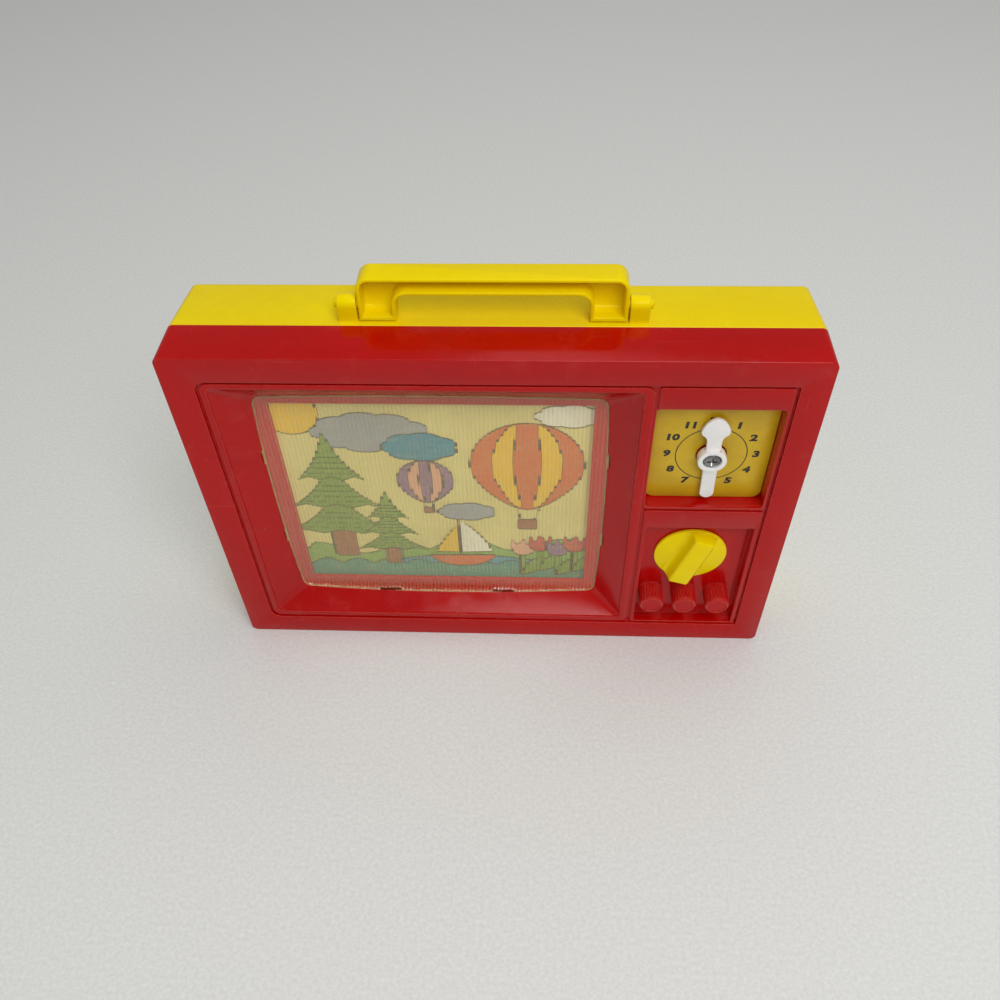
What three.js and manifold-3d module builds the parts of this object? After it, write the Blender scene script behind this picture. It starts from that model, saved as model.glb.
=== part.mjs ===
// A musical toy television: a wind-up music movement scrolls a picture band past a ribbed window.
// Millimetres. +Z is up, the screen faces -Y, and the toy stands on z = 0, centred on x.

import * as THREE from 'three';
import { mergeVertices } from 'three/addons/utils/BufferGeometryUtils.js';
import Module from 'manifold-3d';

const wasm = await Module();
wasm.setup();

// Clearances
const seatGap = 0.3;
const runningGap = 0.3;
const overrun = 1;

// Case
const caseWidth = 250;
const caseHeight = 174;
const frontCaseDepth = 20;
const rearCaseDepth = 29;
const caseWall = 2.4;
const caseCornerRadius = 3;
const caseEdgeRound = 1;
const roundShare = 0.3;
const rearEdgeRound = 1.6;
const rearSideDraft = 2;
const rearTopDraft = 1;
const lipHeight = 3;
const lipWall = 1.2;

// Front frame and the sunken panels inside it
const frameLeft = 12.5;
const frameRight = 11.4;
const frameTop = 11.7;
const frameBottom = 11.8;
const panelStep = 1.5;
const panelWall = 2.2;
const columnWidth = 50.8;
const screenRimRadius = 4.5;
const columnBar = 1.8;

// Screen surround and window
const ledgeWidth = 3.8;
const lensMarginLeft = 16.5;
const lensMarginRight = 16;
const lensMarginTop = 14.8;
const lensMarginBottom = 13;
const lensFrontDepth = 9.5;
const lensThickness = 1.5;
const lensCornerRadius = 4.5;
const lensSideSwell = 1.6;
const lensTopSwell = 1;
const lensBottomSwell = 3;
const lensBorderSide = 5.3;
const lensBorderTop = 4.5;
const lensBorderBottom = 6;
const seatPlateThickness = 1.6;
const clipLength = 13;
const clipReach = 1;
const clipPocketReach = 2;
const lowClipLength = 15;

// Dial opening, knob recess and the moulded dummy knobs
const dialStripHeight = 11.9;
const dialOpeningHeight = 55;
const dialSideStrip = 0.8;
const dialCardDepth = 7;
const dialCardThickness = 0.8;
const dialCardRadius = 4;
const columnRail = 2.4;
const knobStripHeight = 10.7;
const recessSideStrip = 1.6;
const recessRightStrip = 2.8;
const recessFloorDepth = 5.8;
const dummyKnobRadius = 5.55;
const dummyKnobGroove = 0.4;
const dummyKnobLength = 9.7;
const dummyKnobPitch = 15.2;
const dummyKnobRise = 18.4;
const dummyKnobFaceRim = 1;
const dummyKnobFaceDip = 0.3;
const dummyKnobWall = 1.8;
const dummyKnobFlutes = 24;
const fluteShares = { crest: 0.25, valley: 0.75 };

// Clock hand
const clockSideShift = 0.8;
const clockDrop = 2.2;
const handTipMargin = 7.7;
const handTailMargin = 2.8;
const dialHoleRadius = 6.2;
const handHubRadius = 5.8;
const handHubDepth = 2.4;
const handBladeDepth = 3.9;
const handBladeThickness = 1.5;
const handHeadWidth = 11.5;
const handNeckWidth = 6;
const handNeckLength = 12;
const handTailWidth = 5.8;
const handBossRadius = 5;
const handScrewHeadRadius = 3.5;
const handScrewHeadHeight = 1.6;
const handScrewShankRadius = 1.4;
const handScrewLength = 10;
const handCupDepth = 2;
const handLean = 1.5;
const spadeShares = { shoulder: 0.5, hollow: 0.8, lift: 0.15, dip: 0.1, brow: 0.9, point: 0.4, drop: 0.2 };

// Winding knob
const windSideShift = 1.8;
const windTopMargin = 6.4;
const windSideMargin = 5.5;
const windDiscMost = 16.1;
const windToDummyGap = 6.3;
const windDiscThickness = 1.2;
const windBarInset = 1.25;
const windBarWidth = 9.4;
const windBarHeight = 5.8;
const windBarDraft = 1.1;
const windBarTilt = 17.9;
const windSleeveRadius = 4.3;
const windArborRadius = 2;

// Carrying handle and its lugs
const pivotDepth = 25.9;
const pivotHeight = 6.3;
const lugRadius = 3.7;
const lugThickness = 7.4;
const handlePinRadius = 2;
const handlePinTip = 1.7;
const pinCapShares = { radius: 0.8, height: 0.35 };
const handleBaseHalf = 50.6;
const handleTopHalf = 49.2;
const handleLegWidth = 13.2;
const handleRise = 12.7;
const handleGripHeight = 6.4;
const handleOuterRadius = 5;
const handleInnerRadius = 4.5;
const handleWall = 1.5;
const handleFootDrop = 5.8;
const handleFrontReach = 3.4;
const handleBackReachTop = 7.2;
const handleBackReachFoot = 4.8;

// Case screws and their pillars
const caseScrewInset = 8.4;
const caseBossRadius = 4;
const screwWellDepth = 17;
const screwWellRadius = 3.2;
const caseScrewShankRadius = 1.2;
const caseScrewHeadRadius = 2.8;
const caseScrewHeadHeight = 2;
const caseScrewLength = 20;

// Sound slots in the back
const soundSlotCount = 8;
const soundSlotPitch = 6;
const soundSlotWidth = 2.4;
const soundSlotLength = 34;
const soundSlotRise = 8.5;

// Gears
const gearModule = 0.8;
const cylinderGearTeeth = 18;
const idlerReachShare = 1.03;
const rollerGearTeeth = 24;
const governorPinionTeeth = 8;
const gearFaceWidth = 5;
const crownModule = 1;
const crownTeeth = 20;
const crownPinionTeeth = 10;
const wormModule = 0.6;
const wormWheelTeeth = 20;
const wormWheelWidth = 1.8;
const addendumShare = 0.9;
const dedendumShare = 1.2;

// Movement frame
const movementDepth = 14.3;
const bedPlateThickness = 1.8;
const bedPlateLeft = 20.6;
const bedPlateRight = 24.6;
const bedPlateAbove = 16.2;
const movementScrewInset = 4.5;
const movementScrewLeftInset = 5.5;
const bracketThickness = 1.6;
const bracketMargin = 3.7;
const movementBossRadius = 3.2;
const shaftRadius = 1.5;
const endPlay = 0.4;
const pinHeadRim = 0.8;
const pinHeadHeight = 0.8;

// Spring barrel and mainspring
const barrelRadius = 11.2;
const barrelLength = 8.3;
const barrelWall = 0.8;
const barrelStandOff = 0.7;
const barrelCoverThickness = 0.8;
const crownWidth = 2.1;
const crownGap = 0.3;
const crownToothShare = 2.3;
const crownPinionWidth = 3.2;
const wheelSpacing = 1.2;
const springStrip = 0.5;
const springInnerRadius = 3.1;
const springTurns = 4;

// Pinned cylinder and comb
const cylinderRadius = 6.5;
const cylinderPinHeight = 0.5;
const cylinderPinWidth = 0.6;
const pinsPerRing = 3;
const pinTurnSteps = 19;
const pinRowStep = 7;
const pinRingStep = 5;
const combTeeth = 16;
const combPitch = 1.3;
const combToothWidth = 0.9;
const combToothLength = 9;
const combBodyLength = 7.4;
const combThickness = 1.2;
const combGap = 0.35;
const combRiserWidth = 8.6;

// Governor
const governorArborRadius = 1;
const wormRootRadius = 1.2;
const wormThreadHeight = 1.1;
const wormTurns = 5;
const wormRowsPerTurn = 8;
const wormCrestShare = 0.22;
const wormStartShare = 0.25;
const wormGap = 0.4;
const fanRadius = 5;
const fanWidth = 6;
const fanThickness = 0.9;
const governorArborLength = 25;
const governorStrip = 1.4;
const governorFootRise = 2.4;

// Picture drive
const rollerDepth = 22;
const rollerRadius = 7.6;
const rollerFlange = 1.1;
const rollerFlangeWidth = 1.4;
const driveRollerGap = 13.1;
const idlerRollerGap = 12.3;
const bandThickness = 0.4;
const bandMargin = 5;
const carrierFlangeThickness = 2.4;
const carrierFlangeMargin = 9.5;
const carrierRoom = 2;
const platenThickness = 1.6;
const platenRibDepth = 8;
const platenRibShares = [0.3, 0.7];
const carrierTabWidth = 9;
const carrierTabHeight = 8.4;
const carrierScrewLeftInset = 10.7;
const carrierScrewRightInset = 9.7;

// Small screws
const smallScrewShankRadius = 1.1;
const smallScrewHeadRadius = 2.4;
const smallScrewHeadHeight = 1.5;
const smallScrewLength = 5;
const crossSlotWidth = 0.8;
const crossSlotShare = 0.65;
const crossDepthShare = 0.55;

// Facets round a full turn, or round one quarter of it
const smallFacets = 12;
const shaftFacets = 16;
const mediumFacets = 24;
const largeFacets = 48;
const cornerFacets = 4;
const bendFacets = 8;
const swellFacets = 8;

const quarterTurn = Math.PI / 2;
const halfWidth = caseWidth / 2;
const halfDepth = (frontCaseDepth + rearCaseDepth) / 2;
const seamDepth = frontCaseDepth;
const caseDepth = frontCaseDepth + rearCaseDepth;
const floorThickness = panelWall;

// The y of a point that lies the given depth behind the front face
function atDepth(depth) {
  return depth - halfDepth;
}

// Solids

function solid(geometry) {
  const bare = geometry.index ? geometry.toNonIndexed() : geometry.clone();
  bare.deleteAttribute('normal');
  bare.deleteAttribute('uv');
  const merged = mergeVertices(bare);
  const mesh = new wasm.Mesh({
    numProp: 3,
    vertProperties: new Float32Array(merged.attributes.position.array),
    triVerts: new Uint32Array(merged.index.array),
  });
  return new wasm.Manifold(mesh);
}

function join(...solids) {
  return solids.reduce((whole, next) => whole.add(next));
}

function cut(whole, ...tools) {
  return tools.reduce((left, tool) => left.subtract(tool), whole);
}

function placed(shape, x, y, z) {
  return shape.translate([x, y, z]);
}

function span(left, right, bottom, top) {
  return { left, right, bottom, top };
}

function grown(box, by) {
  return span(box.left - by, box.right + by, box.bottom - by, box.top + by);
}

function block(box, frontY, backY) {
  const geometry = new THREE.BoxGeometry(box.right - box.left, backY - frontY, box.top - box.bottom);
  geometry.translate((box.left + box.right) / 2, (frontY + backY) / 2, (box.bottom + box.top) / 2);
  return solid(geometry);
}

function rodAlongY(radius, frontY, backY, facets = mediumFacets) {
  const geometry = new THREE.CylinderGeometry(radius, radius, backY - frontY, facets);
  geometry.translate(0, (frontY + backY) / 2, 0);
  return solid(geometry);
}

function rodAlongZ(radius, bottom, top, facets = mediumFacets) {
  const geometry = new THREE.CylinderGeometry(radius, radius, top - bottom, facets);
  geometry.rotateX(Math.PI / 2);
  geometry.translate(0, 0, (bottom + top) / 2);
  return solid(geometry);
}

function rodAlongX(radius, left, right, facets = mediumFacets) {
  const geometry = new THREE.CylinderGeometry(radius, radius, right - left, facets);
  geometry.rotateZ(Math.PI / 2);
  geometry.translate((left + right) / 2, 0, 0);
  return solid(geometry);
}

// A ring turned about the z axis from a closed outline of radius and height
function turnedAlongZ(points, facets = mediumFacets) {
  const profile = [...points, points[0]].map(([radius, z]) => new THREE.Vector2(radius, z));
  const geometry = new THREE.LatheGeometry(profile, facets);
  geometry.rotateX(Math.PI / 2);
  return solid(geometry);
}

// An outline in x and z, given depth along y
function plate(shape, frontY, backY, curveSegments = cornerFacets) {
  const settings = { depth: backY - frontY, bevelEnabled: false, curveSegments };
  const geometry = new THREE.ExtrudeGeometry(shape, settings);
  geometry.rotateX(Math.PI / 2);
  geometry.translate(0, backY, 0);
  return solid(geometry);
}

// An outline in x and y, given height along z
function slab(shape, bottom, top, curveSegments = cornerFacets) {
  const settings = { depth: top - bottom, bevelEnabled: false, curveSegments };
  const geometry = new THREE.ExtrudeGeometry(shape, settings);
  geometry.translate(0, 0, bottom);
  return solid(geometry);
}

// An outline in y and z, given width along x
function sideways(shape, left, right, curveSegments = cornerFacets) {
  const settings = { depth: right - left, bevelEnabled: false, curveSegments };
  const geometry = new THREE.ExtrudeGeometry(shape, settings);
  const turn = new THREE.Matrix4().makeBasis(
    new THREE.Vector3(0, 1, 0),
    new THREE.Vector3(0, 0, 1),
    new THREE.Vector3(1, 0, 0),
  );
  geometry.applyMatrix4(turn);
  geometry.translate(left, 0, 0);
  return solid(geometry);
}

// Outlines

function outline(points) {
  const shape = new THREE.Shape();
  points.forEach(([u, v], index) => (index ? shape.lineTo(u, v) : shape.moveTo(u, v)));
  shape.closePath();
  return shape;
}

function roundedShape(box, radius) {
  const shape = new THREE.Shape();
  shape.moveTo(box.left + radius, box.bottom);
  shape.lineTo(box.right - radius, box.bottom);
  shape.absarc(box.right - radius, box.bottom + radius, radius, -Math.PI / 2, 0);
  shape.lineTo(box.right, box.top - radius);
  shape.absarc(box.right - radius, box.top - radius, radius, 0, Math.PI / 2);
  shape.lineTo(box.left + radius, box.top);
  shape.absarc(box.left + radius, box.top - radius, radius, Math.PI / 2, Math.PI);
  shape.lineTo(box.left, box.bottom + radius);
  shape.absarc(box.left + radius, box.bottom + radius, radius, Math.PI, Math.PI * 1.5);
  shape.closePath();
  return shape;
}

// A closed loop of points: a rectangle with round corners, whose sides may swell outwards
function loop(box, radius, swell = { right: 0, top: 0, left: 0, bottom: 0 }, sideSteps = 1) {
  const corners = [
    { x: box.right - radius, z: box.bottom + radius, start: -1, swell: swell.right },
    { x: box.right - radius, z: box.top - radius, start: 0, swell: swell.top },
    { x: box.left + radius, z: box.top - radius, start: 1, swell: swell.left },
    { x: box.left + radius, z: box.bottom + radius, start: 2, swell: swell.bottom },
  ];
  const cornerPoint = (corner, turn) => {
    const angle = (corner.start + turn) * quarterTurn;
    return [corner.x + radius * Math.cos(angle), corner.z + radius * Math.sin(angle)];
  };
  const points = [];
  corners.forEach((corner, index) => {
    for (let step = 0; step <= cornerFacets; step++) points.push(cornerPoint(corner, step / cornerFacets));
    const from = cornerPoint(corner, 1);
    const to = cornerPoint(corners[(index + 1) % corners.length], 0);
    const outward = (corner.start + 1) * quarterTurn;
    for (let step = 1; step < sideSteps; step++) {
      const share = step / sideSteps;
      const rise = corner.swell * 4 * share * (1 - share);
      points.push([
        from[0] + (to[0] - from[0]) * share + rise * Math.cos(outward),
        from[1] + (to[1] - from[1]) * share + rise * Math.sin(outward),
      ]);
    }
  });
  return points;
}

// A closed skin through loops of equal count, listed from the front to the back
function loftAlongY(sections) {
  const count = sections[0].points.length;
  const vertices = [];
  const faces = [];
  for (const { y, points } of sections) points.forEach(([x, z]) => vertices.push(x, y, z));
  for (let section = 0; section + 1 < sections.length; section++) {
    const front = section * count;
    const back = front + count;
    for (let index = 0; index < count; index++) {
      const next = (index + 1) % count;
      faces.push(front + index, back + index, front + next);
      faces.push(back + index, back + next, front + next);
    }
  }
  const ends = [sections[0], sections[sections.length - 1]];
  ends.forEach(({ y, points }, end) => {
    const centre = vertices.length / 3;
    const base = end ? (sections.length - 1) * count : 0;
    const total = points.reduce(([x, z], [px, pz]) => [x + px, z + pz], [0, 0]);
    vertices.push(total[0] / count, y, total[1] / count);
    for (let index = 0; index < count; index++) {
      const next = (index + 1) % count;
      if (end) faces.push(centre, base + next, base + index);
      else faces.push(centre, base + index, base + next);
    }
  });
  const geometry = new THREE.BufferGeometry();
  geometry.setAttribute('position', new THREE.Float32BufferAttribute(vertices, 3));
  geometry.setIndex(faces);
  return solid(geometry);
}

// Gears

function pitchRadius(teeth, size = gearModule) {
  return (teeth * size) / 2;
}

const toothHalfShares = { root: 0.29, pitch: 0.185, tip: 0.09 };

// A spur gear outline whose first tooth points along the given angle
function gearShape(teeth, size, firstTooth) {
  const pitch = pitchRadius(teeth, size);
  const tip = pitch + size * addendumShare;
  const root = pitch - size * dedendumShare;
  const step = (Math.PI * 2) / teeth;
  const points = [];
  for (let tooth = 0; tooth < teeth; tooth++) {
    const centre = firstTooth + tooth * step;
    const corners = [
      [root, -toothHalfShares.root],
      [pitch, -toothHalfShares.pitch],
      [tip, -toothHalfShares.tip],
      [tip, toothHalfShares.tip],
      [pitch, toothHalfShares.pitch],
      [root, toothHalfShares.root],
    ];
    for (const [radius, share] of corners) {
      const angle = centre + share * step;
      points.push([radius * Math.cos(angle), radius * Math.sin(angle)]);
    }
  }
  return outline(points);
}

// The angle of a tooth on the second gear that falls in a gap of the first, along the line of centres
function meshedTooth(firstTooth, firstTeeth, secondTeeth, lineAngle) {
  const carried = ((firstTooth - lineAngle) * firstTeeth) / secondTeeth;
  return lineAngle + Math.PI - carried - Math.PI / secondTeeth;
}

// Screws point along -Y from the underside of their heads at y = 0, with a cross slot in the head
function screwSolid(headRadius, headHeight, shankRadius, shankLength) {
  const head = rodAlongY(headRadius, 0, headHeight, shaftFacets);
  const shank = rodAlongY(shankRadius, -shankLength, headHeight / 2, smallFacets);
  const reach = headRadius * crossSlotShare;
  const slotFloor = headHeight * (1 - crossDepthShare);
  const half = crossSlotWidth / 2;
  const top = headHeight + overrun;
  const across = block(span(-reach, reach, -half, half), slotFloor, top);
  const upright = block(span(-half, half, -reach, reach), slotFloor, top);
  return cut(join(head, shank), across, upright);
}

// Finishes and meshes

function finish(color, roughness, metalness = 0) {
  return new THREE.MeshStandardMaterial({ color, roughness, metalness });
}

const redPlastic = () => finish(0x9e1f1f, 0.35);
const yellowPlastic = () => finish(0xe6cd00, 0.35);
const whitePlastic = () => finish(0xf2f2ee, 0.4);
const dialCardFinish = () => finish(0xc9a520, 0.5);
const bandFinish = () => finish(0xd8cf94, 0.7);
const natural = () => finish(0xd9d6c8, 0.5);
const steel = () => finish(0xb9bcc0, 0.3, 1);
const brass = () => finish(0xc2a14e, 0.35, 1);
const castMetal = () => finish(0x9a9c9e, 0.5, 1);

function clearPlastic() {
  const material = finish(0xd8e0d8, 0.1);
  material.transparent = true;
  material.opacity = 0.35;
  return material;
}

function piece(name, shape, material, x = 0, y = 0, z = 0) {
  const made = shape.getMesh();
  const geometry = new THREE.BufferGeometry();
  geometry.setAttribute('position', new THREE.Float32BufferAttribute(made.vertProperties, 3));
  geometry.setIndex(new THREE.BufferAttribute(new Uint32Array(made.triVerts), 1));
  geometry.computeVertexNormals();
  const mesh = new THREE.Mesh(geometry, material);
  mesh.name = name;
  mesh.position.set(x, y, z);
  return mesh;
}

function groupAt(x, y, z) {
  const group = new THREE.Group();
  group.position.set(x, y, z);
  return group;
}

// Places that several pieces share

const columnRight = halfWidth - frameRight;
const column = span(columnRight - columnWidth, columnRight, frameBottom, caseHeight - frameTop);
const screenRim = span(-halfWidth + frameLeft, column.left - columnBar, frameBottom, caseHeight - frameTop);
const ledge = grown(screenRim, -ledgeWidth);
const lensBox = span(
  screenRim.left + lensMarginLeft,
  screenRim.right - lensMarginRight,
  screenRim.bottom + lensMarginBottom,
  screenRim.top - lensMarginTop,
);
const lensSwell = { right: lensSideSwell, top: lensTopSwell, left: lensSideSwell, bottom: lensBottomSwell };
const aperture = span(
  lensBox.left + lensBorderSide,
  lensBox.right - lensBorderSide,
  lensBox.bottom + lensBorderBottom,
  lensBox.top - lensBorderTop,
);
const lensBackDepth = lensFrontDepth + lensThickness;
const seatDepth = lensBackDepth + seatGap;
const seatBackDepth = seatDepth + seatPlateThickness;

const dialOpening = span(
  column.left + dialSideStrip,
  column.right - dialSideStrip,
  column.top - dialStripHeight - dialOpeningHeight,
  column.top - dialStripHeight,
);
const dialPanel = span(column.left, column.right, dialOpening.bottom, column.top);
const knobPanel = span(column.left, column.right, column.bottom, dialOpening.bottom - columnRail);
const knobRecess = span(
  knobPanel.left + recessSideStrip,
  knobPanel.right - recessRightStrip,
  knobPanel.bottom + recessSideStrip,
  knobPanel.top - knobStripHeight,
);
const dialFloorDepth = dialCardDepth + dialCardThickness + seatGap;
const dialFloorBack = dialFloorDepth + floorThickness;
const recessFloorBack = recessFloorDepth + floorThickness;
const columnMiddle = (column.left + column.right) / 2;
const clockX = columnMiddle - clockSideShift;
const clockZ = (dialOpening.bottom + dialOpening.top) / 2 - clockDrop;
const handHeadLength = dialOpening.top - handTipMargin - clockZ;
const handTailLength = clockZ - handTailMargin - dialOpening.bottom;
const handHubBack = dialCardDepth - seatGap * 2;
const handBossTop = handHubBack + seatGap;
const handScrewSeat = handHubDepth + handCupDepth - seatGap;
const windX = columnMiddle - windSideShift;
const dummyKnobZ = knobRecess.bottom + dummyKnobRise;
const windRoomTop = knobRecess.top - windTopMargin;
const windRoomBottom = dummyKnobZ + dummyKnobRadius + windToDummyGap;
const windRoomSide = windX - knobRecess.left - windSideMargin;
const windDiscRadius = Math.min(windDiscMost, windRoomSide, (windRoomTop - windRoomBottom) / 2);
const windBarLength = (windDiscRadius - windBarInset) * 2;
const windZ = windRoomTop - windDiscRadius;
const dummyKnobXs = [-1, 0, 1].map((step) => windX + step * dummyKnobPitch);

const pivotY = atDepth(pivotDepth);
const pivotZ = caseHeight + pivotHeight;

const caseScrewPlaces = [
  [-halfWidth + caseScrewInset, caseScrewInset],
  [0, caseScrewInset],
  [halfWidth - caseScrewInset, caseScrewInset],
  [-halfWidth + caseScrewInset, caseHeight - caseScrewInset],
  [0, caseHeight - caseScrewInset],
  [halfWidth - caseScrewInset, caseHeight - caseScrewInset],
];
const screwShoulderDepth = caseDepth - screwWellDepth;
const caseScrewHole = caseScrewShankRadius + runningGap;

const bandOuterRadius = rollerRadius + runningGap + bandThickness;
const bandBottom = aperture.bottom - bandMargin;
const bandTop = aperture.top + bandMargin;
const flangeBottomTop = bandBottom - carrierRoom - rollerFlangeWidth - endPlay;
const flangeTopBottom = bandTop + carrierRoom + rollerFlangeWidth + endPlay;
const rollerLeftX = aperture.left - idlerRollerGap;
const rollerRightX = aperture.right + driveRollerGap;
const carrierFrontDepth = seatBackDepth + seatGap;
const carrierTabBack = carrierFrontDepth + carrierFlangeThickness;
const gearTop = flangeBottomTop - carrierFlangeThickness - endPlay;
const gearBottom = gearTop - gearFaceWidth;
const tabReach = carrierTabHeight / 2;
const lowTabZ = flangeBottomTop - carrierFlangeThickness - tabReach;
const highTabZ = flangeTopBottom + carrierFlangeThickness + tabReach;
const carrierScrewLeft = aperture.left + carrierScrewLeftInset;
const carrierScrewRight = aperture.right - carrierScrewRightInset;
const carrierScrewPlaces = [
  [carrierScrewLeft, lowTabZ],
  [carrierScrewRight, lowTabZ],
  [carrierScrewLeft, highTabZ],
  [carrierScrewRight, highTabZ],
];

// The movement's own frame: x and z from the winding axis, y back from the bed plate's rear face
const movementY = atDepth(movementDepth);
const bedPlateFrontDepth = movementDepth - bedPlateThickness;
const barrelBack = barrelStandOff + barrelLength;
const crownToothHeight = crownModule * crownToothShare;
const crownPitchY = barrelBack + crownToothHeight - crownModule;
const trainY = crownPitchY + pitchRadius(crownPinionTeeth, crownModule) + crownGap;
const crownPitchRadius = pitchRadius(crownTeeth, crownModule);
const pinionBottom = -crownPitchRadius - crownPinionWidth / 2;
const pinionTop = pinionBottom + crownPinionWidth;
const upperBracketTop = pinionBottom - endPlay;
const upperBracketBottom = upperBracketTop - bracketThickness;
const cylinderTop = upperBracketBottom - endPlay;
const localGearTop = gearTop - windZ;
const localGearBottom = gearBottom - windZ;
const lowerBracketBottom = localGearTop + endPlay;
const lowerBracketTop = lowerBracketBottom + bracketThickness;
const cylinderBottom = lowerBracketTop + endPlay;
const rollerLocalX = rollerRightX - windX;
const rollerLocalY = rollerDepth - movementDepth;

// The idler gear has enough teeth to reach from the cylinder gear to the roller gear
const gearsApart = Math.hypot(rollerLocalX, rollerLocalY - trainY);
const teethApart = Math.ceil((gearsApart * idlerReachShare) / gearModule);
const idlerGearTeeth = teethApart - (cylinderGearTeeth + rollerGearTeeth) / 2;

// It sits where its distances to both of them mesh
function idlerPlace() {
  const toIdler = pitchRadius(cylinderGearTeeth) + pitchRadius(idlerGearTeeth);
  const toRoller = pitchRadius(idlerGearTeeth) + pitchRadius(rollerGearTeeth);
  const bend = Math.acos((toIdler ** 2 + gearsApart ** 2 - toRoller ** 2) / (2 * toIdler * gearsApart));
  const angle = Math.atan2(rollerLocalY - trainY, rollerLocalX) - bend;
  return { x: toIdler * Math.cos(angle), y: trainY + toIdler * Math.sin(angle), angle };
}

const idler = idlerPlace();
const idlerToRollerAngle = Math.atan2(rollerLocalY - idler.y, rollerLocalX - idler.x);
const governorX = pitchRadius(cylinderGearTeeth) + pitchRadius(governorPinionTeeth);
const wormPitchRadius = wormRootRadius + wormThreadHeight / 2;
const wormX = governorX + pitchRadius(wormWheelTeeth, wormModule) + wormPitchRadius + wormGap;
const wormWheelTop = localGearBottom - wheelSpacing;
const wormWheelBottom = wormWheelTop - wormWheelWidth;
const wormZ = (wormWheelTop + wormWheelBottom) / 2;
const governorBaseTop = wormZ - fanRadius - endPlay * 2;
const bedPlateBottom = governorBaseTop - governorStrip;
const movementScrewPlaces = [
  [-bedPlateLeft + movementScrewLeftInset, bedPlateAbove - movementScrewInset],
  [bedPlateRight - movementScrewInset, bedPlateAbove - movementScrewInset],
  [-bedPlateLeft + movementScrewLeftInset, lowerBracketTop + movementScrewInset],
];
const combFace = trainY - combThickness / 2;
const combTip = cylinderRadius + cylinderPinHeight + combGap;
const combSpan = (combTeeth - 1) * combPitch;
const combCentreZ = (cylinderTop + cylinderBottom) / 2;
const combBody = span(
  combTip + combToothLength,
  combTip + combToothLength + combBodyLength,
  combCentreZ - combSpan / 2 - combPitch,
  combCentreZ + combSpan / 2 + combPitch,
);
const combRiser = span(bedPlateRight - combRiserWidth, bedPlateRight, combBody.bottom, combBody.top);
const combScrewX = (Math.max(combBody.left, combRiser.left) + Math.min(combBody.right, combRiser.right)) / 2;
const combScrewPlaces = [-1, 1].map((side) => [combScrewX, combCentreZ + (side * combSpan) / 4]);
const governorFoot = {
  x: governorX - pitchRadius(governorPinionTeeth),
  z: wormWheelBottom + governorFootRise,
};

// Case

function frontShell() {
  const outside = span(-halfWidth, halfWidth, 0, caseHeight);
  const edge = (inset, depth) => ({
    y: atDepth(depth),
    points: loop(grown(outside, -inset), caseCornerRadius - inset),
  });
  return cut(
    loftAlongY([
      edge(caseEdgeRound, 0),
      edge(caseEdgeRound * roundShare, caseEdgeRound * roundShare),
      edge(0, caseEdgeRound),
      edge(0, seamDepth),
    ]),
    block(grown(outside, -caseWall), atDepth(caseWall), atDepth(seamDepth + overrun)),
  );
}

function lensLoop(by) {
  return loop(grown(lensBox, by), lensCornerRadius + by, lensSwell, swellFacets);
}

const straight = { right: 0, top: 0, left: 0, bottom: 0 };

// The solid walls of the screen surround, before its hollow is cut
function surroundBlock() {
  const radius = screenRimRadius;
  return loftAlongY([
    { y: atDepth(caseWall / 2), points: loop(grown(ledge, panelWall), radius, straight, swellFacets) },
    { y: atDepth(panelStep + panelWall), points: loop(grown(ledge, panelWall), radius, straight, swellFacets) },
    { y: atDepth(lensFrontDepth), points: lensLoop(panelWall) },
    { y: atDepth(seatBackDepth), points: lensLoop(panelWall) },
  ]);
}

function surroundHollow() {
  const radius = screenRimRadius - ledgeWidth / 2;
  return join(
    loftAlongY([
      { y: atDepth(-overrun), points: loop(ledge, radius, straight, swellFacets) },
      { y: atDepth(panelStep), points: loop(ledge, radius, straight, swellFacets) },
      { y: atDepth(lensFrontDepth), points: lensLoop(seatGap) },
      { y: atDepth(seatDepth), points: lensLoop(seatGap) },
    ]),
    block(aperture, atDepth(lensFrontDepth), atDepth(seatBackDepth + overrun)),
  );
}

// Where the window's clips hold: two on each side and two on the lower edge
const clipCentreShares = [0.31, 0.72];
const lowClipCentreShares = [0.28, 0.72];

function sideClipBoxes(reach, gap) {
  return clipCentreShares.flatMap((share) => {
    const z = lensBox.bottom + (lensBox.top - lensBox.bottom) * share;
    const bottom = z - clipLength / 2 - gap;
    const top = z + clipLength / 2 + gap;
    return [
      span(lensBox.left - reach - lensSideSwell, lensBox.left + lensBorderSide / 2, bottom, top),
      span(lensBox.right - lensBorderSide / 2, lensBox.right + reach + lensSideSwell, bottom, top),
    ];
  });
}

function lowClipBoxes(reach, gap) {
  return lowClipCentreShares.map((share) => {
    const x = lensBox.left + (lensBox.right - lensBox.left) * share;
    const half = lowClipLength / 2 + gap;
    return span(
      x - half, x + half, lensBox.bottom - lensBottomSwell - reach, lensBox.bottom + lensBorderBottom / 2,
    );
  });
}

function clipPockets() {
  const boxes = [...sideClipBoxes(clipReach + seatGap, seatGap), ...lowClipBoxes(clipPocketReach, seatGap)];
  return boxes.map((box) => block(box, atDepth(lensFrontDepth), atDepth(seatDepth)));
}

function dialWell() {
  return block(grown(dialOpening, panelWall), atDepth(caseWall / 2), atDepth(dialFloorBack));
}

function knobWell() {
  return block(grown(knobRecess, panelWall), atDepth(caseWall / 2), atDepth(recessFloorBack));
}

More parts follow.
